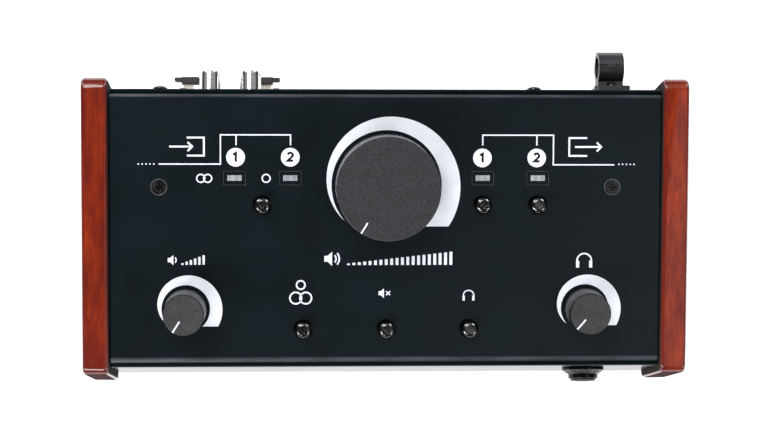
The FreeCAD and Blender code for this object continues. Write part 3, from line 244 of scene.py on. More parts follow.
@dataclass(frozen=True)
class Place:
    """A set of axes in the row frame: a point with its across, up and out directions."""

    origin: np.ndarray
    across: np.ndarray
    up: np.ndarray
    out: np.ndarray

    def points(self, local: np.ndarray) -> np.ndarray:
        """Carries points from these axes to the row frame: the origin plus each coordinate times its direction."""
        return self.origin + local @ np.stack([self.across, self.up, self.out])

    def local(self, points: np.ndarray) -> np.ndarray:
        """Carries points from the row frame to these axes: each coordinate is the way along its direction."""
        return (points - self.origin) @ np.stack([self.across, self.up, self.out]).T

    def skin(self, local: Skin) -> Skin:
        """Carries a skin from these axes to the row frame."""
        return Skin(self.points(local.points), local.faces)

    def reach(self, node: bpy.types.Object) -> tuple[np.ndarray, np.ndarray]:
        """Gives the lowest and highest coordinates of a node in these axes."""
        local = self.local(vertices(node))
        return local.min(axis=0), local.max(axis=0)


def joint_place(frame: dict, joint: str) -> Place:
    """Gives the axes at a joint whose own axis runs into the part: out is against it and across is +X.

    Args:
        frame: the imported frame.
        joint: the joint's name.

    Returns:
        The axes, whose origin is the joint's.
    """
    found = next(j for j in frame["joints"] if j["name"] == joint)
    out = -np.array(found["axis"], float)
    out = out / np.linalg.norm(out)
    across = np.array([1.0, 0.0, 0.0])
    return Place(np.array(found["pos_m"], float), across, np.cross(out, across), out)


# ------------------------------------------------------------------ shader groups


class Wire:
    """Adds nodes to one node tree and joins them."""

    def __init__(self, tree: bpy.types.NodeTree) -> None:
        """Keeps the tree that nodes are added to."""
        self.tree = tree

    def node(self, kind: str, **settings: object) -> bpy.types.Node:
        """Adds a node and sets its properties.

        Args:
            kind: the node's type, such as ShaderNodeMix.
            settings: its properties by name.

        Returns:
            The new node.
        """
        made = self.tree.nodes.new(kind)
        for name, value in settings.items():
            setattr(made, name, value)
        return made

    def join(self, source: Socket, target: Socket) -> None:
        """Links an output to an input."""
        self.tree.links.new(source, target)

    def feed(self, socket: Socket, value: object) -> None:
        """Sets an input to a number, vector or colour, or joins an output to it.

        Args:
            socket: the input.
            value: a number, a vector, a colour or an output.
        """
        if isinstance(value, (int, float, tuple)):
            socket.default_value = value
        else:
            self.join(value, socket)

    def maths(self, operation: str, first: object, second: object = 0.0, clamp: bool = False) -> object:
        """Adds a Math node.

        Args:
            operation: what it works out.
            first: its first input, as a number or an output.
            second: its second input.
            clamp: whether the result is kept within 0 to 1.

        Returns:
            The node's output.
        """
        made = self.node("ShaderNodeMath", operation=operation, use_clamp=clamp)
        self.feed(made.inputs[0], first)
        self.feed(made.inputs[1], second)
        return made.outputs[0]

    def blend(self, share: object, first: object, second: object) -> object:
        """Adds a colour Mix node.

        Args:
            share: how much of the second colour shows, from 0 to 1.
            first: the first colour.
            second: the second colour.

        Returns:
            The mixed colour's output.
        """
        made = self.node("ShaderNodeMix", data_type="RGBA")
        for name, value in (("Factor_Float", share), ("A_Color", first), ("B_Color", second)):
            self.feed(next(socket for socket in made.inputs if socket.identifier == name), value)
        return next(socket for socket in made.outputs if socket.identifier == "Result_Color")

    def span(self, value: object, low: float, high: float, new_low: float = 0.0, new_high: float = 1.0) -> object:
        """Adds a Map Range node with a smooth step.

        Args:
            value: the output that is mapped.
            low: where the step starts.
            high: where it ends.
            new_low: the result up to its start.
            new_high: the result past its end.

        Returns:
            The mapped output.
        """
        made = self.node("ShaderNodeMapRange", interpolation_type="SMOOTHSTEP")
        self.join(value, made.inputs["Value"])
        for name, number in (("From Min", low), ("From Max", high), ("To Min", new_low), ("To Max", new_high)):
            made.inputs[name].default_value = number
        return made.outputs[0]

    def noise(self, vector: object, scale: object, detail: float, roughness: float = 0.5) -> object:
        """Adds a Noise Texture.

        Args:
            vector: the output that it is laid out by.
            scale: its patches per metre.
            detail: how many finer layers it has.
            roughness: how strong they are.

        Returns:
            The noise's value, from 0 to 1.
        """
        made = self.node("ShaderNodeTexNoise")
        for name, value in (("Vector", vector), ("Scale", scale), ("Detail", detail), ("Roughness", roughness)):
            self.feed(made.inputs[name], value)
        return made.outputs["Fac"]

    def swing(self, value: object, middle: object, size: object) -> object:
        """Gives the middle plus the size times the value less a half, kept within 0 to 1."""
        off = self.maths("MULTIPLY", self.maths("SUBTRACT", value, 0.5), size)
        return self.maths("ADD", off, middle, clamp=True)

    def part(self, vector: Socket, axis: str) -> Socket:
        """Gives one part of a vector: X, Y or Z.

        Args:
            vector: the vector's output.
            axis: which part.

        Returns:
            The part's output.
        """
        split = self.node("ShaderNodeSeparateXYZ")
        self.join(vector, split.inputs[0])
        return split.outputs[axis]

    def surface_normal(self) -> Socket:
        """Gives the direction in which the surface faces, without its bumps."""
        return self.node("ShaderNodeTexCoord").outputs["Normal"]


class Effect(Enum):
    """The shared effects, each of which is one node group."""

    MOTTLE = "mottle"
    SHEEN_SPREAD = "sheen_spread"
    RELIEF = "relief"
    STREAKS = "streaks"


@dataclass
class Effects:
    """Builds each shared node group once and places it in materials.

    speckle_pitch is how many times finer than the clouds the speckle is, and each step is the part of the noise's
    range over which a mask goes from 0 to 1.
    """

    speckle_pitch: float = 14.0
    cloud_step: Pair = (0.3, 0.7)
    speckle_step: Pair = (0.35, 0.65)
    built: dict[Effect, bpy.types.NodeTree] = field(default_factory=dict)

    def group(self, effect: Effect) -> bpy.types.NodeTree:
        """Returns an effect's node group, which the first call builds.

        Args:
            effect: which effect.

        Returns:
            The group's node tree.
        """
        if effect not in self.built:
            maker = {Effect.MOTTLE: self._mottle, Effect.SHEEN_SPREAD: self._sheen_spread,
                     Effect.RELIEF: self._relief, Effect.STREAKS: self._streaks}[effect]
            tree = bpy.data.node_groups.new(effect.value, "ShaderNodeTree")
            maker(tree)
            self.built[effect] = tree
        return self.built[effect]

    def place(self, wire: Wire, effect: Effect, **values: object) -> Socket:
        """Places an effect in a material and sets or joins its inputs by name.

        Args:
            wire: the material's wiring.
            effect: the effect to place.
            values: what each named input gets.

        Returns:
            The group's one output.
        """
        made = wire.node("ShaderNodeGroup", node_tree=self.group(effect))
        for name, value in values.items():
            wire.feed(made.inputs[name], value)
        return made.outputs[0]

    @staticmethod
    def _sockets(tree: bpy.types.NodeTree, inputs: dict[str, str], output: str, kind: str) -> tuple:
        """Declares a group's sockets.

        Args:
            tree: the group's node tree.
            inputs: the kind of each input by its name.
            output: the one output's name.
            kind: the output's kind.

        Returns:
            The group's wiring, its inputs by name, and the socket that its output is joined to.
        """
        for name, given in inputs.items():
            tree.interface.new_socket(name, in_out="INPUT", socket_type="NodeSocket" + given)
        tree.interface.new_socket(output, in_out="OUTPUT", socket_type="NodeSocket" + kind)
        wire = Wire(tree)
        return wire, wire.node("NodeGroupInput").outputs, wire.node("NodeGroupOutput").inputs[output]

    def _mottle(self, tree: bpy.types.NodeTree) -> None:
        """Two colours shared out by soft clouds and a finer speckle, each as strong as its input says.

        Args:
            tree: the group's empty node tree.
        """
        wire, given, made = self._sockets(
            tree, {"Vector": "Vector", "Scale": "Float", "Dark": "Color", "Light": "Color", "Cloud": "Float",
                   "Speckle": "Float"}, "Color", "Color")
        broad = wire.noise(given["Vector"], given["Scale"], detail=4.0)
        fine = wire.noise(given["Vector"], wire.maths("MULTIPLY", given["Scale"], self.speckle_pitch),
                          detail=2.0)
        cloud = wire.maths("SUBTRACT", wire.span(broad, *self.cloud_step), 0.5)
        grit = wire.maths("SUBTRACT", wire.span(fine, *self.speckle_step), 0.5)
        both = wire.maths("ADD", wire.maths("MULTIPLY", cloud, given["Cloud"]),
                          wire.maths("MULTIPLY", grit, given["Speckle"]))
        mask = wire.maths("ADD", both, 0.5, clamp=True)
        wire.join(wire.blend(mask, given["Dark"], given["Light"]), made)

    def _sheen_spread(self, tree: bpy.types.NodeTree) -> None:
        """A roughness that drifts round its middle value, as handled and cleaned surfaces do.

        Args:
            tree: the group's empty node tree.
        """
        wire, given, made = self._sockets(
            tree, {"Vector": "Vector", "Scale": "Float", "Middle": "Float", "Spread": "Float"}, "Roughness",
            "Float")
        drift = wire.noise(given["Vector"], given["Scale"], detail=5.0)
        wire.join(wire.swing(drift, given["Middle"], given["Spread"]), made)

    def _relief(self, tree: bpy.types.NodeTree) -> None:
        """A fine bumpy surface, such as powder coat, spark texture or casting skin.

        Args:
            tree: the group's empty node tree.
        """
        wire, given, made = self._sockets(
            tree, {"Vector": "Vector", "Scale": "Float", "Strength": "Float", "Depth": "Float"}, "Normal",
            "Vector")
        bump = wire.node("ShaderNodeBump")
        wire.join(given["Strength"], bump.inputs["Strength"])
        wire.join(given["Depth"], bump.inputs["Distance"])
        grain = wire.noise(given["Vector"], given["Scale"], detail=3.0, roughness=0.6)
        wire.join(grain, bump.inputs["Height"])
        wire.join(bump.outputs["Normal"], made)

    def _streaks(self, tree: bpy.types.NodeTree) -> None:
        """Thin lines along one direction, as drawing, turning or planing leaves, from noise squeezed across them.

        Args:
            tree: the group's empty node tree.
        """
        wire, given, made = self._sockets(
            tree, {"Vector": "Vector", "Squeeze": "Vector", "Scale": "Float", "Contrast": "Float"}, "Mask",
            "Float")
        mapping = wire.node("ShaderNodeMapping")
        wire.join(given["Vector"], mapping.inputs["Vector"])
        wire.join(given["Squeeze"], mapping.inputs["Scale"])
        lines = wire.noise(mapping.outputs["Vector"], given["Scale"], detail=6.0, roughness=0.65)
        wire.join(wire.swing(lines, 0.5, given["Contrast"]), made)


# ------------------------------------------------------------------ finishes


@dataclass(frozen=True)
class Finish:
    """A procedural surface finish, named after the record's material slot that it dresses.

    Colours are display colours. scale is the size of the colour variation in patches per metre, and grain that of
    the relief. The roughness drifts in patches sheen_scale times as many. squeeze stretches the streaks: the
    smallest number is the direction that they run in. streak is how dark they are.
    """

    slot: str
    dark: Triple
    light: Triple
    roughness: float
    spread: float = 0.12
    scale: float = 90.0
    cloud: float = 0.7
    speckle: float = 0.3
    grain: float = 2600.0
    bump: float = 0.15
    depth: float = 0.00012
    metallic: float = 0.0
    specular: float = 0.5
    coat: float = 0.0
    coat_roughness: float = 0.05
    squeeze: Optional[Triple] = None
    streak: float = 0.5
    streak_contrast: float = 2.0
    sheen_scale: float = 0.7

    def colour(self, wire: Wire, effects: Effects, coords: Socket) -> Socket:
        """Gives the base colour: a mottle of the two colours, darkened along the streaks where it has any.

        Args:
            wire: the material's wiring.
            effects: the shared node groups.
            coords: the places on the object, in metres.

        Returns:
            The colour's output.
        """
        mottle = self.mottle(wire, effects, coords)
        if self.squeeze is None:
            return mottle
        streaks = effects.place(wire, Effect.STREAKS, Vector=coords, Squeeze=self.squeeze, Scale=self.grain,
                                Contrast=self.streak_contrast)
        return wire.blend(wire.maths("MULTIPLY", streaks, self.streak), mottle, srgb(*self.dark))

    def mottle(self, wire: Wire, effects: Effects, coords: Socket) -> Socket:
        """Places the mottle of the finish's two colours and returns its colour."""
        return effects.place(wire, Effect.MOTTLE, Vector=coords, Scale=self.scale, Dark=srgb(*self.dark),
                             Light=srgb(*self.light), Cloud=self.cloud, Speckle=self.speckle)

    def sheen(self, wire: Wire, effects: Effects, coords: Socket) -> Socket:
        """Gives the roughness, which drifts round its middle value."""
        return effects.place(wire, Effect.SHEEN_SPREAD, Vector=coords, Scale=self.scale * self.sheen_scale,
                             Middle=self.roughness, Spread=self.spread)

    def varnish(self, wire: Wire, coords: Socket) -> object:
        """Gives the share of the surface under the clear coat: one number where the coat is even."""
        return self.coat

    def metal(self, wire: Wire) -> object:
        """Gives the share of the surface that is bare metal: one number where it is even."""
        return self.metallic

    def normal(self, wire: Wire, effects: Effects, coords: Socket) -> Socket:
        """Gives the surface's normal, which carries the finish's fine relief."""
        return effects.place(wire, Effect.RELIEF, Vector=coords, Scale=self.grain, Strength=self.bump,
                             Depth=self.depth)

    def material(self, effects: Effects) -> bpy.types.Material:
        """Builds the material.

        Args:
            effects: the shared node groups.

        Returns:
            A material whose colour, roughness and relief all vary over the surface.
        """
        made = bpy.data.materials.new(self.slot)
        made.use_nodes = True
        wire = Wire(made.node_tree)
        shader = made.node_tree.nodes["Principled BSDF"]
        coords = wire.node("ShaderNodeTexCoord").outputs["Object"]
        for name, value in (("Base Color", self.colour(wire, effects, coords)),
                            ("Roughness", self.sheen(wire, effects, coords)),
                            ("Normal", self.normal(wire, effects, coords)),
                            ("Metallic", self.metal(wire)), ("Specular IOR Level", self.specular),
                            ("Coat Weight", self.varnish(wire, coords)), ("Coat Roughness", self.coat_roughness)):
            wire.feed(shader.inputs[name], value)
        made.diffuse_color = srgb(*self.light)
        return made


@dataclass(frozen=True)
class VarnishedWood(Finish):
    """Red-brown hardwood: long wavy grain and dark pores, with painted shade towards the board's ends and edges, on
    its end faces and on its face against the case.

    The board lies along Y, from end_front to end_rear, and across X from inner_face to outer_face. Each share says
    how strongly a mask works, and each turn between which parts of the normal it sets in.
    """

    heart: Triple = (84, 14, 9)
    end_shade: Triple = (44, 7, 5)
    inner_shade: Triple = (46, 40, 38)
    end_front: float = 0.0
    end_rear: float = 0.0
    end_fade: float = 0.005
    inner_face: float = 0.105
    outer_face: float = 0.115
    inner_shade_span: Pair = (0.0010, 0.0022)
    outer_shade_span: Pair = (0.0016, 0.0006)
    figure_squeeze: Triple = (1.0, 0.05, 1.0)
    figure_scale: float = 260.0
    figure_contrast: float = 4.5
    flame: float = 0.8
    cloud_squeeze: Triple = (1.0, 0.16, 1.0)
    pore_squeeze: Triple = (1.0, 0.03, 1.0)
    pore_scale: float = 1500.0
    pore_contrast: float = 2.6
    pore_step: Pair = (0.62, 0.95)
    pore_share: float = 0.6
    end_share: float = 0.6
    edge_share: float = 0.55
    end_turn: Pair = (0.86, 0.97)
    case_side_depth: Pair = (0.0001, 0.0004)
    bare_dullness: float = 0.5
    side_turn: Pair = (0.85, 0.97)
    side_rubbed: float = 0.7

    def colour(self, wire: Wire, effects: Effects, coords: Socket) -> Socket:
        """Gives the wood's colour: broad figure, fine pores along the board, and painted shade at its ends, edges,
        end faces and face against the case.

        Args:
            wire: the material's wiring.
            effects: the shared node groups.
            coords: the places on the board, in metres.

        Returns:
            The colour's output.
        """
        heart = srgb(*self.heart)
        figure = effects.place(wire, Effect.STREAKS, Vector=coords, Squeeze=self.figure_squeeze,
                               Scale=self.figure_scale, Contrast=self.figure_contrast)
        pores = effects.place(wire, Effect.STREAKS, Vector=coords, Squeeze=self.pore_squeeze,
                              Scale=self.pore_scale, Contrast=self.pore_contrast)
        along = wire.node("ShaderNodeMapping")
        along.inputs["Scale"].default_value = self.cloud_squeeze
        wire.join(coords, along.inputs["Vector"])
        grained = wire.blend(wire.maths("MULTIPLY", figure, self.flame),
                             self.mottle(wire, effects, along.outputs["Vector"]), heart)
        pored = wire.blend(wire.span(pores, *self.pore_step, 0.0, self.pore_share), grained, heart)
        # Painted shade: the heart colour at the ends and edges, and a darker colour on the front and rear faces.
        sawn = wire.blend(self.end_faces(wire), wire.blend(self.edge_shade(wire, coords), pored, heart),
                          srgb(*self.end_shade))
        # Painted shade: a dark grey-brown colour on the face against the case.
        return wire.blend(self.against_case(wire, coords), sawn, srgb(*self.inner_shade))

    def edge_shade(self, wire: Wire, coords: Socket) -> Socket:
        """Gives how strong the painted shade is: it darkens the board's two ends and its inner and outer edges.

        Args:
            wire: the material's wiring.
            coords: the places on the board, in metres.

        Returns:
            The painted shade's strength, from 0 to 1.
        """
        way = wire.part(coords, "Y")
        front = wire.span(way, self.end_front, self.end_front + self.end_fade, 1.0, 0.0)
        rear = wire.span(way, self.end_rear - self.end_fade, self.end_rear)
        reach = wire.maths("ABSOLUTE", wire.part(coords, "X"))
        inner = wire.span(reach, *(self.inner_face + past for past in self.inner_shade_span), 1.0, 0.0)
        outer = wire.span(reach, *(self.outer_face - short for short in self.outer_shade_span))
        # Painted shade: the heart colour darkens the rolled ends and the inner and outer edges.
        ends = wire.maths("MULTIPLY", wire.maths("ADD", front, rear, clamp=True), self.end_share)
        edges = wire.maths("MULTIPLY", wire.maths("ADD", inner, outer, clamp=True), self.edge_share)
        return wire.maths("ADD", ends, edges, clamp=True)

    def sheen(self, wire: Wire, effects: Effects, coords: Socket) -> Socket:
        """Gives the wood's roughness, which is dull on the board's end faces and on its face against the case."""
        dull = wire.maths("MULTIPLY", self.bare(wire, coords), self.bare_dullness)
        return wire.maths("ADD", super().sheen(wire, effects, coords), dull, clamp=True)

    def end_faces(self, wire: Wire) -> Socket:
        """Gives 1 on the board's front and rear faces, which get a darker colour as painted shade."""
        return wire.span(wire.maths("ABSOLUTE", wire.part(wire.surface_normal(), "Y")), *self.end_turn)

    def against_case(self, wire: Wire, coords: Socket) -> Socket:
        """Gives 1 on the face against the case, which gets a dark grey-brown colour as painted shade."""
        return wire.span(wire.maths("ABSOLUTE", wire.part(coords, "X")),
                         *(self.inner_face + depth for depth in self.case_side_depth), 1.0, 0.0)

    def bare(self, wire: Wire, coords: Socket) -> Socket:
        """Gives 1 where the board has no varnish: on its end faces and on its face against the case."""
        return wire.maths("ADD", self.end_faces(wire), self.against_case(wire, coords), clamp=True)

    def varnish(self, wire: Wire, coords: Socket) -> Socket:
        """Gives 1 on the sloping top, less on the side, whose coat is thinned by rubbing, and 0 where the board is
        bare.

        Args:
            wire: the material's wiring.
            coords: the places on the board, in metres.

        Returns:
            The coat's weight, from 0 to 1.
        """
        side = wire.span(wire.maths("ABSOLUTE", wire.part(wire.surface_normal(), "X")), *self.side_turn, 0.0,
                         self.side_rubbed)
        return wire.maths("SUBTRACT", wire.maths("SUBTRACT", 1.0, self.bare(wire, coords)), side, clamp=True)


@dataclass(frozen=True)
class KnobFinish(Finish):
    """Moulded knob: a blasted, speckled top on a skirt that the mould left smooth, in a plain colour that on the
    side knobs is much darker, as painted shade.
    """

    facing: Triple = (0.0, 0.0, 1.0)
    skirt: Triple = (40, 40, 43)
    skirt_roughness: float = 0.2
    top_turn: Pair = (0.75, 0.95)

    def top(self, wire: Wire) -> Socket:
        """Gives 1 where the surface faces out of the cover, and 0 round the skirt.

        Args:
            wire: the material's wiring.

        Returns:
            The share, from 0 to 1.
        """
        along = wire.node("ShaderNodeVectorMath", operation="DOT_PRODUCT")
        wire.join(wire.surface_normal(), along.inputs[0])
        wire.feed(along.inputs[1], self.facing)
        return wire.span(along.outputs["Value"], *self.top_turn)

    def colour(self, wire: Wire, effects: Effects, coords: Socket) -> Socket:
        """Gives the speckled colour of the top and the plain one of the skirt, which on the side knobs is painted
        shade.
        """
        # Painted shade on the side knobs: their skirt colour is far darker than their top.
        return wire.blend(self.top(wire), srgb(*self.skirt), self.mottle(wire, effects, coords))

    def sheen(self, wire: Wire, effects: Effects, coords: Socket) -> Socket:
        """Gives the top's roughness, less on the skirt.

        Args:
            wire: the material's wiring.
            effects: the shared node groups.
            coords: the places on the knob, in metres.

        Returns:
            The roughness's output.
        """
        drift, top = super().sheen(wire, effects, coords), self.top(wire)
        smoother = wire.maths("SUBTRACT", drift, self.roughness - self.skirt_roughness, clamp=True)
        skirt = wire.maths("MULTIPLY", smoother, wire.maths("SUBTRACT", 1.0, top))
        return wire.maths("ADD", skirt, wire.maths("MULTIPLY", drift, top))


@dataclass(frozen=True)
class PaintedSteel(Finish):
    """Satin black paint on folded sheet, duller over a bend and smoother on an upright face, with painted shade and
    a painted highlight at its bends.

    The sheet eases into its front and rear bends: its height falls there as an arc of fold_radius, from each
    start, for the length of the ease. A painted highlight, a line of lighter colour, runs along each ease: its rise
    and fall are the shares of the ease over which it comes and goes.
    """

    bend_roughness: float = 0.6
    upright_roughness: float = 0.13
    facing: Triple = (0.0, 0.0, 1.0)
    slope_turn: Pair = (0.05, 0.11)
    shade_metal_rise: Pair = (0.1, 0.35)
    upright_rise: Pair = (0.05, 0.16)
    front_start: float = -0.0540
    rear_start: float = 0.0415
    ease: float = 0.0021
    fold_radius: float = 0.0065
    fold_highlight: Triple = (66, 69, 75)
    highlight_rise: float = 0.4
    highlight_fall: Pair = (0.75, 1.05)
    highlight_squeeze: Triple = (0.3, 1.0, 1.0)
    highlight_scale: float = 160.0
    highlight_contrast: float = 1.6
    highlight_strength: float = 1.3

    def colour(self, wire: Wire, effects: Effects, coords: Socket) -> Socket:
        """Gives the paint's colour, with a painted highlight: a lighter line along both folds of the sloping face.

        Args:
            wire: the material's wiring.
            effects: the shared node groups.
            coords: the places on the sheet, in metres.

        Returns:
            The colour's output.
        """
        # Painted highlight: a band of lighter colour along each ease, where the folds would catch the light.
        lines = [wire.maths("MULTIPLY", wire.span(past, 0.0, self.highlight_rise * self.ease),
                            wire.span(past, *(share * self.ease for share in self.highlight_fall), 1.0, 0.0))
                 for past in self.past_starts(wire, coords)]
        highlight_band = wire.maths("MULTIPLY", wire.maths("ADD", *lines, clamp=True),
                          wire.maths("SUBTRACT", 1.0, self.off_slope(wire)))
        highlight_streaks = effects.place(wire, Effect.STREAKS, Vector=coords, Squeeze=self.highlight_squeeze, Scale=self.highlight_scale,
                            Contrast=self.highlight_contrast)
        # Blends the painted highlight's lighter colour into the paint along both folds.
        return wire.blend(wire.maths("MULTIPLY", highlight_band, wire.maths("MULTIPLY", highlight_streaks, self.highlight_strength)),
                          super().colour(wire, effects, coords), srgb(*self.fold_highlight))

    def past_starts(self, wire: Wire, coords: Socket) -> tuple[object, object]:
        """Gives how far a place lies past the start of the front ease and of the rear one."""
        way = wire.part(coords, "Y")
        return wire.maths("SUBTRACT", self.front_start, way), wire.maths("SUBTRACT", way, self.rear_start)

    def off_slope(self, wire: Wire) -> Socket:
        """Gives 0 where the surface lies along the slope, and 1 where it has turned away from it."""
        turned = wire.maths("SUBTRACT", wire.part(wire.surface_normal(), "Y"), self.facing[1])
        return wire.span(wire.maths("ABSOLUTE", turned), *self.slope_turn)

    def metal(self, wire: Wire) -> Socket:
        """Gives 1 over the top of a bend, which turns to dark metal there as painted shade."""
        # Painted shade: the top of each bend becomes dark metal, so that it shows as a dark line.
        upper = wire.span(wire.part(wire.surface_normal(), "Z"), *self.shade_metal_rise)
        return wire.maths("MULTIPLY", self.off_slope(wire), upper)

    def sheen(self, wire: Wire, effects: Effects, coords: Socket) -> Socket:
        """Gives the drifting roughness, raised off the sloping face and lowered on an upright one.

        Args:
            wire: the material's wiring.
            effects: the shared node groups.
            coords: the places on the sheet, in metres.

        Returns:
            The roughness's output.
        """
        dull = wire.maths("MULTIPLY", self.off_slope(wire), self.bend_roughness - self.roughness)
        rise = wire.maths("ABSOLUTE", wire.part(wire.surface_normal(), "Z"))
        smooth = wire.span(rise, *self.upright_rise, self.bend_roughness - self.upright_roughness, 0.0)
        drift = super().sheen(wire, effects, coords)
        return wire.maths("SUBTRACT", wire.maths("ADD", drift, dull), smooth, clamp=True)

    def eased(self, wire: Wire, past: object) -> object:
        """Gives how far the height has fallen at a way past the start: the radius less the arc's rise there.

        Args:
            wire: the material's wiring.
            past: how far a place lies past the start.

        Returns:
            The fall, in metres.
        """
        clear = wire.maths("MINIMUM", wire.maths("MAXIMUM", past, 0.0), self.ease)
        under = wire.maths("SUBTRACT", self.fold_radius ** 2, wire.maths("MULTIPLY", clear, clear))
        return wire.maths("SUBTRACT", self.fold_radius, wire.maths("SQRT", under))

    def normal(self, wire: Wire, effects: Effects, coords: Socket) -> Socket:
        """Gives the normal of the paint's fine relief, turned where the sheet eases into a bend.

        Args:
            wire: the material's wiring.
            effects: the shared node groups.
            coords: the places on the sheet, in metres.

        Returns:
            The normal's output.
        """
        fall = wire.maths("ADD", *(self.eased(wire, past) for past in self.past_starts(wire, coords)))
        bump = wire.node("ShaderNodeBump")
        for name, value in (("Strength", 1.0), ("Distance", 1.0), ("Height", wire.maths("SUBTRACT", 0.0, fall)),
                            ("Normal", super().normal(wire, effects, coords))):
            wire.feed(bump.inputs[name], value)
        return bump.outputs["Normal"]


@dataclass(frozen=True)
class LatchFinish(Finish):
    """Sprung latch: a dark painted thumb on a tongue left in bare plate."""

    thumb_start: float = 0.0524
    paint_edge: float = 0.0003
    plate: Triple = (206, 200, 186)

    def colour(self, wire: Wire, effects: Effects, coords: Socket) -> Socket:
        """Gives the mottled dark paint past the thumb's start, and the plate's colour before it."""
        painted = wire.span(wire.part(coords, "Y"), self.thumb_start, self.thumb_start + self.paint_edge)
        return wire.blend(painted, srgb(*self.plate), self.mottle(wire, effects, coords))


@dataclass(frozen=True)
class SolderMask(Finish):
    """A circuit board's lacquer: green over copper tracks that run square to each other."""

    track: Triple = (46, 120, 70)
    track_scale: float = 160.0
    track_width: float = 0.035
    track_share: float = 0.8

    def colour(self, wire: Wire, effects: Effects, coords: Socket) -> Socket:
        """Gives the board's colour: a brick pattern of lighter tracks over mottled lacquer.

        Args:
            wire: the material's wiring.
            effects: the shared node groups.
            coords: the places on the board, in metres.

        Returns:
            The colour's output.
        """
        black, white = srgb(0, 0, 0), srgb(255, 255, 255)
        bricks = wire.node("ShaderNodeTexBrick")
        for name, value in (("Color1", black), ("Color2", black), ("Mortar", white), ("Scale", self.track_scale),
                            ("Mortar Size", self.track_width), ("Vector", coords)):
            wire.feed(bricks.inputs[name], value)
        share = wire.maths("MULTIPLY", bricks.outputs["Color"], self.track_share)
        return wire.blend(share, self.mottle(wire, effects, coords), srgb(*self.track))


@dataclass(frozen=True)
class BandedResin(Finish):
    """Milky resin with fine upright bands, as a ribbed light guide or a printed sleeve shows.

    bands counts radians of the wave per metre. The wave texture runs through wave_rate of them at a scale of 1.
    """

    bands: float = 900.0
    band: Triple = (150, 152, 150)
    strength: float = 0.6
    wave_rate: float = 20.0
    distortion: float = 0.6
    band_step: Pair = (0.4, 0.9)

    def colour(self, wire: Wire, effects: Effects, coords: Socket) -> Socket:
        """Gives the resin's colour: the mottle with a soft wave of the band colour across X.

        Args:
            wire: the material's wiring.
            effects: the shared node groups.
            coords: the places on the piece, in metres.

        Returns:
            The colour's output.
        """
        wave = wire.node("ShaderNodeTexWave", wave_type="BANDS", bands_direction="X")
        for name, value in (("Scale", self.bands / self.wave_rate), ("Distortion", self.distortion),
                            ("Vector", coords)):
            wire.feed(wave.inputs[name], value)
        return wire.blend(wire.span(wave.outputs["Fac"], *self.band_step, 0.0, self.strength),
                          self.mottle(wire, effects, coords), srgb(*self.band))


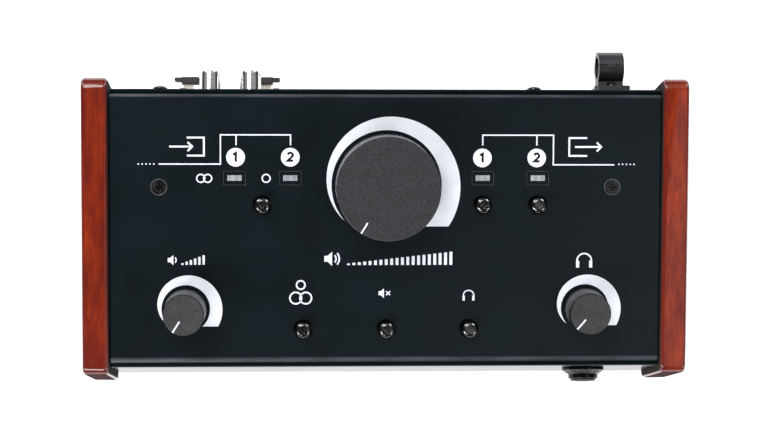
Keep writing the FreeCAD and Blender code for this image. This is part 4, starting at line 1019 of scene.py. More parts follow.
def finishes(rear_end: float, front_end: float, facing: Triple) -> list[Finish]:
    """Lists the finish of every material slot.

    Args:
        rear_end: where the cheeks end at the rear, in metres.
        front_end: where they end at the front.
        facing: the direction out of the cover.

    Returns:
        One finish for each slot of the record.
    """
    along = (1.0, 0.02, 1.0)
    return [
        VarnishedWood("varnished_wood", (86, 15, 2), (144, 46, 8), 0.38, spread=0.1, scale=60.0, cloud=1.0,
                      speckle=0.15, grain=900.0, bump=0.05, specular=0.1, coat_roughness=0.09,
                      end_front=front_end, end_rear=rear_end),
        PaintedSteel("black_painted_steel", (4, 13, 16), (8, 19, 24), 0.3, spread=0.08, scale=40.0, speckle=0.2,
                     grain=2400.0, bump=0.08, depth=0.00005, specular=0.24, facing=facing),
        KnobFinish("main_knob_finish", (6, 6, 8), (50, 50, 55), 0.52, spread=0.1, scale=190.0, cloud=0.12,
                   speckle=1.0, grain=3200.0, bump=0.4, depth=0.0001, specular=0.4, facing=facing),
        # The skirt colour here is painted shade on the side knobs' sides.
        KnobFinish("side_knob_finish", (34, 34, 36), (66, 66, 68), 0.5, spread=0.12, scale=190.0, cloud=0.2,
                   speckle=0.8, grain=3000.0, bump=0.3, depth=0.0001, specular=0.22, facing=facing,
                   skirt=(9, 9, 10), skirt_roughness=0.3),
        Finish("pointer_paint", (214, 218, 227), (228, 231, 239), 0.45, spread=0.1, scale=120.0, speckle=0.3,
               grain=3000.0, bump=0.08, depth=0.00003),
        Finish("button_plastic", (3, 3, 4), (8, 8, 9), 0.08, spread=0.05, scale=300.0, grain=2000.0, bump=0.01,
               specular=0.7, coat=1.0, coat_roughness=0.02),
        BandedResin("light_guide_plastic", (132, 136, 142), (166, 168, 170), 0.3, scale=500.0, coat=0.4,
                    bands=2600.0, band=(104, 108, 116), strength=0.4),
        Finish("lamp_resin", (214, 214, 204), (236, 236, 226), 0.12, scale=400.0, coat=0.5),
        Finish("zinc_plated_steel", (150, 152, 156), (196, 198, 202), 0.3, metallic=1.0, scale=160.0,
               grain=1400.0, bump=0.06, squeeze=along, streak=0.35),
        Finish("blackened_steel", (3, 3, 4), (46, 46, 50), 0.22, metallic=0.4, scale=500.0, cloud=1.0,
               speckle=0.8, grain=2600.0, bump=0.12),
        Finish("blackened_nut", (4, 4, 5), (16, 16, 18), 0.12, spread=0.08, metallic=0.5, scale=600.0,
               speckle=0.6, grain=1800.0, bump=0.06),
        Finish("foot_rubber", (20, 20, 20), (40, 40, 40), 0.82, scale=220.0, speckle=0.5, grain=1800.0, bump=0.4),
        SolderMask("circuit_board", (10, 62, 34), (18, 84, 48), 0.3, scale=60.0, coat=0.3, bump=0.04),
        Finish("chip_resin", (24, 24, 26), (44, 44, 46), 0.62, scale=400.0, speckle=0.8, grain=2400.0, bump=0.3),
        BandedResin("capacitor_can", (22, 26, 54), (36, 42, 78), 0.34, scale=200.0, bands=600.0,
                    band=(150, 156, 170), strength=0.5),
        BandedResin("ribbon_jacket", (104, 108, 112), (136, 140, 144), 0.55, scale=200.0, bands=1570.0,
                    band=(74, 78, 82), strength=0.8),
        Finish("zinc_alloy", (128, 128, 124), (176, 176, 170), 0.42, metallic=1.0, scale=240.0, speckle=0.5,
               grain=1500.0, bump=0.2),
        Finish("black_zinc_shell", (12, 12, 13), (34, 34, 36), 0.38, metallic=0.25, scale=200.0, speckle=0.5,
               grain=1900.0, bump=0.22),
        Finish("nickel", (196, 196, 194), (232, 232, 230), 0.09, spread=0.06, metallic=1.0, scale=120.0,
               grain=1200.0, bump=0.02, squeeze=along, streak=0.2),
        Finish("contact_brass", (176, 128, 52), (224, 180, 96), 0.22, metallic=1.0, scale=300.0, grain=1200.0,
               bump=0.04, squeeze=along, streak=0.3),
        Finish("black_moulding", (14, 14, 15), (32, 32, 34), 0.45, scale=180.0, speckle=0.4, grain=2400.0,
               bump=0.18),
        Finish("clip_nylon", (20, 21, 23), (42, 44, 48), 0.36, scale=220.0, speckle=0.3, grain=1700.0, bump=0.2),
        LatchFinish("latch_steel", (10, 6, 4), (26, 18, 14), 0.4, specular=0.25, scale=300.0, speckle=0.5,
                    grain=1800.0, bump=0.14),
        Finish("shaft_aluminium", (160, 160, 164), (204, 204, 208), 0.28, metallic=1.0, scale=200.0,
               grain=1400.0, bump=0.05, squeeze=along, streak=0.3),
        Finish("spring_steel", (120, 122, 126), (176, 178, 182), 0.25, metallic=1.0, scale=400.0, grain=1400.0,
               bump=0.05),
    ]


@dataclass
class Paintbox:
    """Holds every finish's material and dresses objects with it."""

    effects: Effects
    materials: dict[str, bpy.types.Material] = field(default_factory=dict)

    def mix(self, palette: Sequence[Finish]) -> None:
        """Builds the material of each finish."""
        for finish in palette:
            self.materials[finish.slot] = finish.material(self.effects)

    def dress(self, target: bpy.types.Object, slot: str) -> None:
        """Gives an object one slot's material."""
        target.data.materials.clear()
        target.data.materials.append(self.materials[slot])


@dataclass
class Bench:
    """What each sub-assembly works with: the frame, the paintbox and the cover's axes."""

    frame: dict
    paints: Paintbox
    cover: Place

    def fit(self, name: str, skin: Skin, body: str, slot: str, stands_for: Sequence[str] = (),
            crease: float = 32.0) -> bpy.types.Object:
        """Makes a piece from a skin, dresses it and lets it ride on its body.

        Args:
            name: the piece's name.
            skin: its surface in the row frame.
            body: the body that carries it.
            slot: the material slot that it takes its finish from.
            stands_for: the frame's nodes that it replaces.
            crease: the angle past which an edge stays sharp, in degrees.

        Returns:
            The piece.
        """
        made = piece(name, skin, crease)
        self.paints.dress(made, slot)
        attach(made, body)
        if stands_for:
            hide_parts(*stands_for)
        log.info("%s: %d faces, on %s", name, len(made.data.polygons), body)
        return made


# ------------------------------------------------------------------ case


@dataclass
class Cheek:
    """A wooden cheek: a sloping board with rounded corners and softly rolled edges."""

    node: str
    corners: tuple[float, float, float, float] = (2.5 * MM, 3.6 * MM, 4.2 * MM, 2.5 * MM)
    corner_steps: int = 11
    roll: float = 1.5 * MM
    roll_steps: int = 9

    def outline(self, sharp: np.ndarray, inset: float) -> np.ndarray:
        """Gives the board's outline, moved in by inset, with its corners rounded.

        The corners run clockwise. Each becomes an arc whose centre lies on the bisector of its two edges, at the
        corner's radius over the sine of half their angle, and stays there while the inset shrinks the arc.

        Args:
            sharp: the sharp corners as rows of y and z.
            inset: how far the outline moves in.

        Returns:
            Points round the outline, as many at each inset.
        """
        rounds = []
        for i, (here, radius) in enumerate(zip(sharp, self.corners)):
            before = sharp[i - 1] - here
            after = sharp[(i + 1) % len(sharp)] - here
            before, after = before / np.linalg.norm(before), after / np.linalg.norm(after)
            middle = (before + after) / np.linalg.norm(before + after)
            half = 0.5 * math.acos(float(before @ after))
            way = math.atan2(-middle[1], -middle[0])
            angle = way + np.linspace(0.5, -0.5, self.corner_steps) * (math.pi - 2.0 * half)
            centre = here + middle * radius / math.sin(half)
            rounds.append(centre + (radius - inset) * np.stack([np.cos(angle), np.sin(angle)], axis=-1))
        return np.concatenate(rounds)

    def build(self, bench: Bench, sharp: np.ndarray) -> None:
        """Builds the cheek.

        Across the board, the outline moves in as a quarter circle at both faces: at a turn a the inset is the roll
        times one minus sin a, and the distance from the face is the roll times one minus cos a.

        Args:
            bench: what the cheek is built with.
            sharp: the sharp corners as rows of y and z.
        """
        low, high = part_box(self.node)
        turn = np.linspace(0.0, np.pi / 2.0, self.roll_steps)
        inset = self.roll * (1.0 - np.sin(turn))
        depth = self.roll * (1.0 - np.cos(turn))
        across = np.concatenate([low.x + depth, high.x - depth[::-1]])
        inset = np.concatenate([inset, inset[::-1]])
        grid = np.stack([np.insert(self.outline(sharp, d), 0, x, axis=1) for x, d in zip(across, inset)])
        bench.fit(self.node + "_board", grid_skin(grid), "root", "varnished_wood", [self.node])


@dataclass
class Case:
    """The case: two wooden cheeks round the folded cover and the chassis, which keep their own shapes."""

    cheeks: tuple[str, str] = ("left_cheek", "right_cheek")

    def corners(self, bench: Bench) -> np.ndarray:
        """Works out a cheek's sharp corners from the node's highest points along the slope and its flat ends.

        The sloping top goes through the node's farthest point out of the cover, and rises by the slope's own ratio
        of height to length.

        Args:
            bench: what the case is built with.

        Returns:
            The corners as rows of y and z, clockwise from the lower front one.
        """
        node = bench.frame["nodes"][self.cheeks[0]]
        points = vertices(node)
        (_, front, floor), (_, rear, _) = points.min(axis=0), points.max(axis=0)
        highest = bench.cover.reach(node)[1][2]
        on_top = bench.cover.origin + bench.cover.out * highest
        ratio = bench.cover.up[2] / bench.cover.up[1]
        front_top, rear_top = (on_top[2] + (y - on_top[1]) * ratio for y in (front, rear))
        return np.array([[front, floor], [front, front_top], [rear, rear_top], [rear, floor]])

    def build(self, bench: Bench) -> None:
        """Builds both cheeks.

        Args:
            bench: what the case is built with.
        """
        sharp = self.corners(bench)
        for name in self.cheeks:
            Cheek(name).build(bench, sharp)


# ------------------------------------------------------------------ knobs and buttons


@dataclass
class Knob:
    """A turned knob: skirt, slightly narrowing side, rolled rim and a top that dips a little inside the rim.

    wall is the skirt's thickness, roof the top's, and float_gap the skirt's height over the cover. The top is flat
    for flat_width inside its edge and then falls by dish over bowl_width. core and eye are the radii inside which
    the underside and the top close to a point. The pointer line reaches in from the edge by pointer, and stands
    pointer_angle to the left of straight down the slope.
    """

    name: str
    slot: str
    wall: float
    pointer: float
    dish: float = 0.0
    float_gap: float = 0.8 * MM
    roof: float = 3.0 * MM
    rim: float = 0.55 * MM
    outer_edge: float = 0.25 * MM
    inner_edge: float = 0.2 * MM
    core: float = 0.3 * MM
    eye: float = 0.2 * MM
    face_gap: float = 0.1 * MM
    flat_width: float = 0.5 * MM
    bowl_width: float = 2.2 * MM
    pointer_width: float = 0.6 * MM
    pointer_depth: float = 0.3 * MM
    pointer_lift: float = 0.02 * MM
    pointer_angle: float = 32.0
    pointer_end: float = 20.0

    def top_height(self, radius: np.ndarray, top: float, top_radius: float) -> np.ndarray:
        """Gives the top's height at a radius: flat at the rim, then a shallow bowl that eases out to its floor."""
        share = np.clip((top_radius - self.flat_width - radius) / self.bowl_width, 0.0, 1.0)
        return top - self.dish * share * share * (3.0 - 2.0 * share)

    def top_radius(self, bench: Bench, place: Place, top: float, band: float = 1.0 * MM) -> float:
        """Measures the node's radius just under the chamfer of its top.

        Args:
            bench: what the knob is built with.
            place: the knob's axes.
            top: the height of its top.
            band: how far below the top it is measured.

        Returns:
            The largest radius within the band.
        """
        local = place.local(vertices(bench.frame["nodes"][self.name + "_knob"]))
        near = local[local[:, 2] > top - band]
        return float(np.hypot(near[:, 0], near[:, 1]).max())

    def shell(self, base: float, top: float, top_radius: float) -> Skin:
        """Makes the knob's skin: a lathe of the skirt's inside, its foot, the rolled rim and the bowl of the top.

        Args:
            base: the radius at the skirt's foot.
            top: the height of the top.
            top_radius: the radius of the top.

        Returns:
            The closed surface, in the knob's axes.
        """
        inside, foot, inner = top - self.roof, self.float_gap, base - self.wall
        skirt = [[self.core, inside], [inner, inside], [inner, foot + self.inner_edge],
                 [inner + self.inner_edge, foot], [base - self.outer_edge, foot], [base, foot + self.outer_edge]]
        rim = arc((top_radius - self.rim, top - self.rim), self.rim, 0.0, 90.0, 9)
        face = np.linspace(top_radius - self.rim - self.face_gap, self.eye, 26)
        bowl = np.stack([face, self.top_height(face, top, top_radius)], axis=-1)
        return lathe(np.concatenate([skirt, rim, bowl]), columns=160)

    def pointer_line(self, top: float, top_radius: float) -> Skin:
        """Makes the pointer: a bar whose section is carried along a radius, over the top and down the rim.

        Its upper face lies a hair above the knob's surface.

        Args:
            top: the height of the top.
            top_radius: the radius of the top.

        Returns:
            The closed surface, in the knob's axes.
        """
        reach = np.linspace(top_radius - self.pointer, top_radius - self.rim, 12)
        over = arc((top_radius - self.rim, top - self.rim), self.rim + self.pointer_lift, 90.0, self.pointer_end,
                   steps=6)
        line = np.concatenate([
            np.stack([reach, self.top_height(reach, top, top_radius) + self.pointer_lift], axis=-1), over[1:]])
        turn = math.radians(self.pointer_angle)
        way = np.array([-math.sin(turn), -math.cos(turn)])
        side = np.array([way[1], -way[0]]) * self.pointer_width / 2.0
        rows = [np.concatenate([line[:, :1] * way + sign * side, line[:, 1:] - sunk], axis=1)
                for sunk, sign in ((0.0, -1.0), (0.0, 1.0), (self.pointer_depth, 1.0), (self.pointer_depth, -1.0))]
        return grid_skin(np.stack(rows, axis=1))

    def build(self, bench: Bench) -> None:
        """Builds the knob and its pointer line on the knob's own body.

        Args:
            bench: what the knob is built with.
        """
        node, body = self.name + "_knob", self.name + "_knob_body"
        place = joint_place(bench.frame, node + "_turn")
        base, _, top = map(float, place.reach(bench.frame["nodes"][node])[1])
        top_radius = self.top_radius(bench, place, top)
        bench.fit(node + "_shell", place.skin(self.shell(base, top, top_radius)), body, self.slot, [node])
        bench.fit(self.name + "_pointer_line", place.skin(self.pointer_line(top, top_radius)), body,
                  "pointer_paint", [self.name + "_pointer"])


@dataclass
class Button:
    """A round push button: its cap has a wide crowned rim round a sunk face with a raised diamond.

    The stem has a collar at its foot. The rim is an arc of the crown's radius, from its steep to its shallow tilt,
    which ends level with the top. The well's wall falls over well_slope to the face.
    """

    name: str
    core: float = 0.2 * MM
    stem: float = 1.6 * MM
    collar: float = 2.2 * MM
    collar_height: float = 0.8 * MM
    skirt_depth: float = 1.4 * MM
    skirt_edge: float = 0.1 * MM
    side_drop: float = 0.6 * MM
    rim_width: float = 0.85 * MM
    crown: float = 2.4 * MM
    steep: float = 42.0
    shallow: float = 19.0
    rim_lip: float = 0.08 * MM
    well_slope: float = 0.3 * MM
    floor_drop: float = 0.55 * MM
    fillet: float = 0.15 * MM
    diamond: float = 1.15 * MM
    diamond_edge: float = 0.3 * MM
    diamond_height: float = 0.35 * MM

    def relief(self, radius: np.ndarray, angle: np.ndarray) -> np.ndarray:
        """Gives the diamond: a smooth step of the sum of the absolute sine and cosine parts of the radius.

        Args:
            radius: the distances from the cap's middle.
            angle: the turns round it.

        Returns:
            The rise at each place.
        """
        span = radius * (np.abs(np.sin(angle)) + np.abs(np.cos(angle)))
        share = np.clip((self.diamond - span) / self.diamond_edge, 0.0, 1.0)
        return self.diamond_height * share * share * (3.0 - 2.0 * share)

    def build(self, bench: Bench) -> None:
        """Builds the cap as a lathe with its relief, on the stem that the node has under it.

        Args:
            bench: what the button is built with.
        """
        node = self.name + "_button"
        place = joint_place(bench.frame, node + "_press")
        (_, _, foot), (radius, _, top) = place.reach(bench.frame["nodes"][node])
        crest, skirt, shoulder = radius - self.rim_width, -self.skirt_depth, foot + self.collar_height
        side = np.array([[self.core, foot], [self.collar, foot], [self.collar, shoulder], [self.stem, shoulder],
                         [self.stem, skirt], [radius - self.skirt_edge, skirt], [radius, skirt + self.skirt_edge],
                         [radius, top - self.side_drop]])
        tilt = math.radians(self.shallow)
        rim = arc((crest - self.crown * math.sin(tilt), top - self.crown * math.cos(tilt)), self.crown,
                  90.0 - self.steep, 90.0 - self.shallow, 9)
        well = crest - self.well_slope
        face = np.linspace(well - self.fillet, self.fillet, 16)
        profile = np.concatenate([
            side, rim, [[crest - self.rim_lip, top], [well, top - 0.8 * self.floor_drop]],
            np.stack([face, np.full(len(face), top - self.floor_drop)], axis=-1)])

        def cap_only(at: np.ndarray, angle: np.ndarray) -> np.ndarray:
            """Keeps the relief to the profile's rows from the rim inwards.

            Args:
                at: the radii.
                angle: the turns.

            Returns:
                What is added to the heights.
            """
            relief = self.relief(at, angle)
            relief[:len(side)] = 0.0
            return relief

        bench.fit(node + "_cap", place.skin(lathe(profile, columns=72, shape=cap_only)), node + "_body",
                  "button_plastic", [node])


@dataclass
class ReturnSpring:
    """A button's return spring: a round wire wound into an open coil."""

    name: str
    wire: float = 0.25 * MM
    radius: float = 1.4 * MM
    turns: float = 3.0
    slack: float = 0.03 * MM
    steps: int = 96
    sides: int = 10

    def build(self, bench: Bench) -> None:
        """Builds the coil.

        The wire's middle runs round the coil's radius at the turn's angle while it climbs evenly from the lower
        end to the upper one. Each point of its section lies off it by the wire's radius times the cosine along the
        coil's radius and the sine along its axis.

        Args:
            bench: what the spring is built with.
        """
        joint = self.name + "_button_press"
        place = joint_place(bench.frame, joint)
        low, high = place.reach(bench.frame["nodes"][self.name + "_spring"])
        foot, length = float(low[2]), float(high[2] - low[2])
        turn = np.linspace(0.0, 2.0 * np.pi * self.turns, self.steps + 1)[:, None]
        section = np.linspace(0.0, 2.0 * np.pi, self.sides, endpoint=False)[None, :]
        reach = self.radius + self.wire * np.cos(section)
        climb = foot + self.wire + (length - 2.0 * self.wire) * turn / turn[-1]
        grid = np.stack([reach * np.sin(turn), reach * np.cos(turn), climb + self.wire * np.sin(section)], axis=-1)
        coil = bench.fit(self.name + "_return_spring", place.skin(grid_skin(grid)), "root", "spring_steel",
                         [self.name + "_spring"])
        foot_point = place.points(np.array([0.0, 0.0, foot]))
        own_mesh(coil)


# ------------------------------------------------------------------ print on the cover


@dataclass
class Ink:
    """Flat strokes, dots and discs of ink on the cover, each a thin closed slab. Sizes are in millimetres.

    low and high are the heights of a slab's two faces over the painted face. hair is the width at which a growing
    ring starts, and sweep_start the turn at which it starts, in degrees from up.
    """

    low: float = -0.01
    high: float = 0.03
    hair: float = 0.02
    sweep_start: float = -130.0
    skins: list[Skin] = field(default_factory=list)

    def slab(self, left: np.ndarray, right: np.ndarray, closed: bool = False) -> None:
        """Adds a slab between two edge lines: its rows run along them and its four columns round its section.

        Args:
            left: the points of one edge line.
            right: as many points of the other.
            closed: whether its end joins its start.
        """
        rows = [np.insert(edge, 2, level, axis=1) for edge, level in
                ((left, self.low), (left, self.high), (right, self.high), (right, self.low))]
        grid = np.stack(rows, axis=1) * MM
        self.skins.append(grid_skin(grid, wrap_rows=closed))

    def stroke(self, path: Sequence[Sequence[float]], width: float = 0.5, closed: bool = False) -> None:
        """Adds a line of even width with mitred corners.

        At each point the two edges lie along the mean of the normals before and after it, as far out as keeps the
        line's width.

        Args:
            path: its points.
            width: its width.
            closed: whether its end joins its start.
        """
        points = np.array(path, float)
        step = np.roll(points, -1, axis=0) - points
        step = step / np.maximum(np.linalg.norm(step, axis=1, keepdims=True), 1e-9)
        normal = np.stack([-step[:, 1], step[:, 0]], axis=-1)
        before = np.roll(normal, 1, axis=0)
        if not closed:
            normal[-1], before[0] = before[-1], normal[0]
        mean = normal + before
        mean = mean / np.linalg.norm(mean, axis=1, keepdims=True)
        offset = mean * (width / 2.0) / np.sum(mean * normal, axis=1, keepdims=True)
        self.slab(points + offset, points - offset, closed)

    def ring(self, centre: Pair, radius: float, width: float = 0.5) -> None:
        """Adds a circle line."""
        self.stroke(self.circle(centre, radius), width, closed=True)

    @staticmethod
    def circle(centre: Pair, radius: float, steps: int = 48) -> np.ndarray:
        """Gives points round a full circle, each once."""
        return arc(centre, radius, 0.0, 360.0, steps + 1)[:-1]

    def disc(self, centre: Pair, radius: float) -> None:
        """Adds a filled disc: a wide ring, and a small block over the pinhole that it leaves in the middle."""
        self.slab(self.circle(centre, radius), self.circle(centre, 0.02 * radius), closed=True)
        self.block(centre, 0.05 * radius, 0.05 * radius)

    def block(self, centre: Pair, width: float, height: float) -> None:
        """Adds a filled rectangle.

        Args:
            centre: its middle.
            width: its width.
            height: its height.
        """
        x, y = centre
        left = np.array([[x - width / 2.0, y - height / 2.0], [x - width / 2.0, y + height / 2.0]])
        self.slab(left, left + np.array([width, 0.0]))

    def sweep(self, centre: Pair, inner: float, thickness: float, bend: float, drop: float) -> None:
        """Adds a level ring that grows clockwise from a point and ends in a straight edge.

        Its thickness at a share s of the turn is the full thickness times one less the power bend of 1 - s. The
        turn starts at sweep_start, left of up, and each line of points ends where it comes down to the drop.

        Args:
            centre: the knob's middle.
            inner: the ring's inner radius.
            thickness: its full thickness.
            bend: how early it grows.
            drop: how far below the middle the straight end lies.
        """
        share = np.linspace(0.0, 1.0, 140)[:, None]
        level = np.linspace(0.0, 1.0, 2)[None, :]
        stop = 180.0 - np.degrees(np.arccos(drop / (inner + thickness * level)))
        angle = np.radians(self.sweep_start + (stop - self.sweep_start) * share)
        grown = thickness * (1.0 - (1.0 - share) ** bend)
        radius = inner + np.maximum(grown, self.hair) * level
        x = centre[0] + radius * np.sin(angle)
        y = centre[1] + radius * np.cos(angle)
        edges = np.stack([x, y], axis=-1)
        self.slab(edges[:, 0], edges[:, 1])

    def digit(self, centre: Pair, number: int, height: float = 3.4, width: float = 0.82) -> None:
        """Adds a plain 1 or 2 as strokes: a stem with a flag, or a hook, a diagonal and a foot.

        Args:
            centre: its middle.
            number: 1 or 2.
            height: its height.
            width: its strokes' width.
        """
        x, y = centre
        top, half = y + height / 2.0, height * 0.27
        foot = y - height / 2.0
        if number == 1:
            self.stroke([(x - half, top - 0.75), (x + 0.1, top - 0.1), (x + 0.1, foot)], width)
            return
        hook = arc((x, top - half), half, 165.0, -25.0, 14)
        self.stroke([*hook.tolist(), (x - half, foot + width / 2.0), (x + half + 0.2, foot + width / 2.0)], width)

    def speaker(self, centre: Pair, size: float, waves: int = 2) -> None:
        """Adds a loudspeaker sign: a filled body and horn, with sound waves as arcs.

        Args:
            centre: its middle.
            size: its height.
            waves: how many arcs it has, or none for a crossed-out sign.
        """
        x, y = centre
        self.block((x - 0.42 * size, y), 0.22 * size, 0.4 * size)
        left = np.array([[x - 0.31 * size, y - 0.2 * size], [x - 0.31 * size, y + 0.2 * size]])
        right = np.array([[x, y - 0.48 * size], [x, y + 0.48 * size]])
        self.slab(left, right)
        for i in range(waves):
            self.stroke(arc((x - 0.1 * size, y), (0.36 + 0.22 * i) * size, -42.0, 42.0, 12), 0.11 * size)
        if waves == 0:
            reach = 0.2 * size
            middle = x + 0.42 * size
            for sign in (-1.0, 1.0):
                self.stroke([(middle - reach, y - sign * reach), (middle + reach, y + sign * reach)], 0.12 * size)

    def phones(self, centre: Pair, size: float) -> None:
        """Adds a headphones sign: a headband arc and two ear cups.

        Args:
            centre: the headband's middle.
            size: its width.
        """
        x, y = centre
        self.stroke(arc((x, y), 0.46 * size, 0.0, 180.0, 22), 0.1 * size)
        for side in (-1.0, 1.0):
            self.block((x + side * 0.42 * size, y - 0.22 * size), 0.2 * size, 0.44 * size)

    def level_bars(self, start: Pair, count: int, pitch: float, low: float, high: float) -> None:
        """Adds a row of upright bars that grow evenly from low to high."""
        for i, height in enumerate(np.linspace(low, high, count)):
            self.block((start[0] + i * pitch, start[1] + height / 2.0), pitch * 0.55, float(height))

    def arrow(self, start: Pair, end: Pair, width: float = 0.7) -> None:
        """Adds an arrow with an open head.

        Args:
            start: its tail.
            end: its tip.
            width: its strokes' width.
        """
        way = math.copysign(1.0, end[0] - start[0])
        self.stroke([start, end], width)
        self.stroke([(end[0] - way * 1.7, end[1] + 1.7), end, (end[0] - way * 1.7, end[1] - 1.7)], width)


@dataclass(frozen=True)
class Route:
    """One side's routing lines, as distances from the main knob's middle in millimetres.

    A line runs in from end to corner at its height, up to the common level, and over to the near number. The far
    number hangs off that level.
    """

    side: float
    near: float
    far: float
    corner: float
    end: float
    height: float


@dataclass
class CoverPrint:
    """The white print on the cover: level rings, numbers, routing lines and plain signs. Sizes in millimetres.

    Places are measured from the main knob's middle: across to the right, and up the slope.
    """

    line: float = 0.5
    sign_line: float = 0.6
    arrow_line: float = 0.7
    ring_inner: float = 20.9
    ring_full: float = 7.4
    ring_bend: float = 1.6
    ring_end: float = 15.7
    small_inner: float = 9.15
    small_full: float = 4.75
    small_bend: float = 2.0
    small_end: float = 6.65
    disc_radius: float = 3.55
    discs: tuple[tuple[float, float, int], ...] = ((-57.1, 10.6, 1), (-36.5, 10.6, 2), (36.3, 10.4, 1),
                                                   (57.0, 10.4, 2))
    routes: tuple[Route, ...] = (Route(-1.0, 36.4, 56.9, 62.8, 86.0, 8.0),
                                 Route(1.0, 36.4, 57.0, 63.35, 86.65, 7.8))
    route_level: float = 19.05
    stub: float = 3.9
    dots: int = 5
    dot_height: float = 8.0
    dot_start: float = 1.8
    dot_pitch: float = 1.45
    dot_radius: float = 0.3

    def routing(self, ink: Ink) -> None:
        """Draws the lines from each pair of numbers out to the cover's edge, with the dots that end them.

        Args:
            ink: what the lines are added to.
        """
        level, foot = self.route_level, self.route_level - self.stub
        for route in self.routes:
            side = route.side
            ink.stroke([(side * route.end, route.height), (side * route.corner, route.height),
                        (side * route.corner, level), (side * route.near, level), (side * route.near, foot)],
                       self.line)
            ink.stroke([(side * route.far, level - self.line / 2.0), (side * route.far, foot)], self.line)
            for i in range(self.dots):
                ink.disc((side * (route.end + self.dot_start + self.dot_pitch * i), self.dot_height),
                         self.dot_radius)

    def levels(self, ink: Ink) -> None:
        """Draws the signs in front of the three knobs: what each one sets, and bars that grow to the right.

        Args:
            ink: what the signs are added to.
        """
        ink.speaker((-20.6, -28.0), 5.6, waves=2)
        ink.level_bars((-14.4, -30.4), 20, 2.05, 0.6, 5.0)
        ink.speaker((-80.6, -28.4), 4.0, waves=1)
        ink.level_bars((-77.2, -30.2), 6, 1.6, 0.6, 3.6)
        ink.phones((75.6, -28.9), 6.0)

    def button_signs(self, ink: Ink) -> None:
        """Draws the signs of the three front buttons: two rings into one, a crossed loudspeaker, headphones.

        Args:
            ink: what the signs are added to.
        """
        for x in (-34.4, -30.6):
            ink.ring((x, -43.0), 2.2, self.sign_line)
        ink.ring((-32.5, -38.0), 1.61, self.sign_line)
        ink.speaker((-0.9, -41.2), 3.8, waves=0)
        ink.phones((31.4, -42.2), 4.4)

    def route_signs(self, ink: Ink) -> None:
        """Draws an arrow into a box over the sources, one out of a box over the outputs, and the sources' rings.

        Args:
            ink: what the signs are added to.
        """
        ink.arrow((-82.0, 14.6), (-73.4, 14.6), self.arrow_line)
        ink.stroke([(-75.4, 18.0), (-69.0, 18.0), (-69.0, 11.2), (-75.4, 11.2)], self.arrow_line)
        ink.arrow((71.6, 14.6), (81.6, 14.6), self.arrow_line)
        ink.stroke([(76.2, 18.0), (69.4, 18.0), (69.4, 11.2), (76.2, 11.2)], self.arrow_line)
        for x in (-70.2, -67.6, -45.6):
            ink.ring((x, 2.6), 1.5, self.line)

    def build(self, bench: Bench) -> None:
        """Builds the print as one white piece, and the numbers on its discs as one black piece.

        Args:
            bench: what the print is built with.
        """
        ink, numerals = Ink(), Ink(low=0.03, high=0.045)
        ink.sweep((0.0, 0.0), self.ring_inner, self.ring_full, self.ring_bend, self.ring_end)
        for name in ("aux", "phones"):
            across, up, _ = bench.cover.local(joint_place(bench.frame, name + "_knob_turn").origin) / MM
            ink.sweep((float(across), float(up)), self.small_inner, self.small_full, self.small_bend,
                      self.small_end)
        for x, y, number in self.discs:
            ink.disc((x, y), self.disc_radius)
            numerals.digit((x, y), number)
        for draw in (self.routing, self.levels, self.button_signs, self.route_signs):
            draw(ink)
        bench.fit("cover_print", bench.cover.skin(Skin.merged(ink.skins)), "root", "pointer_paint", crease=20.0)
        bench.fit("number_print", bench.cover.skin(Skin.merged(numerals.skins)), "root", "button_plastic",
                  crease=20.0)


@dataclass
class EdgeGlints:
    """The hair lines of light metal colour that paint highlights on the cover's edges. Sizes in millimetres.

    They run round the seats of the two face screws and round the sunk frames of the lamps. Places are measured
    from the main knob's middle.
    """

    seats: tuple[Pair, ...] = ((-86.0, -0.7), (86.0, -0.7))
    seat_radius: float = 3.0
    seat_line: float = 0.13
    frames: tuple[Pair, ...] = ((-57.5, 2.7), (-36.5, 2.7), (36.5, 2.7), (57.5, 2.7))
    frame_half: Pair = (4.1, 2.6)
    frame_line: float = 0.05

    def build(self, bench: Bench) -> None:
        """Builds every line as one piece.

        Args:
            bench: what the lines are built with.
        """
        ink = Ink(high=0.02)
        for seat in self.seats:
            ink.ring(seat, self.seat_radius, self.seat_line)
        width, height = self.frame_half
        for x, y in self.frames:
            ink.stroke([(x - width, y - height), (x + width, y - height), (x + width, y + height),
                        (x - width, y + height)], self.frame_line, closed=True)
        # Painted highlights: light lines round the screw seats and the lamps' sunk frames.
        bench.fit("painted_edge_glints", bench.cover.skin(Skin.merged(ink.skins)), "root", "zinc_alloy", crease=20.0)


# ------------------------------------------------------------------ sockets


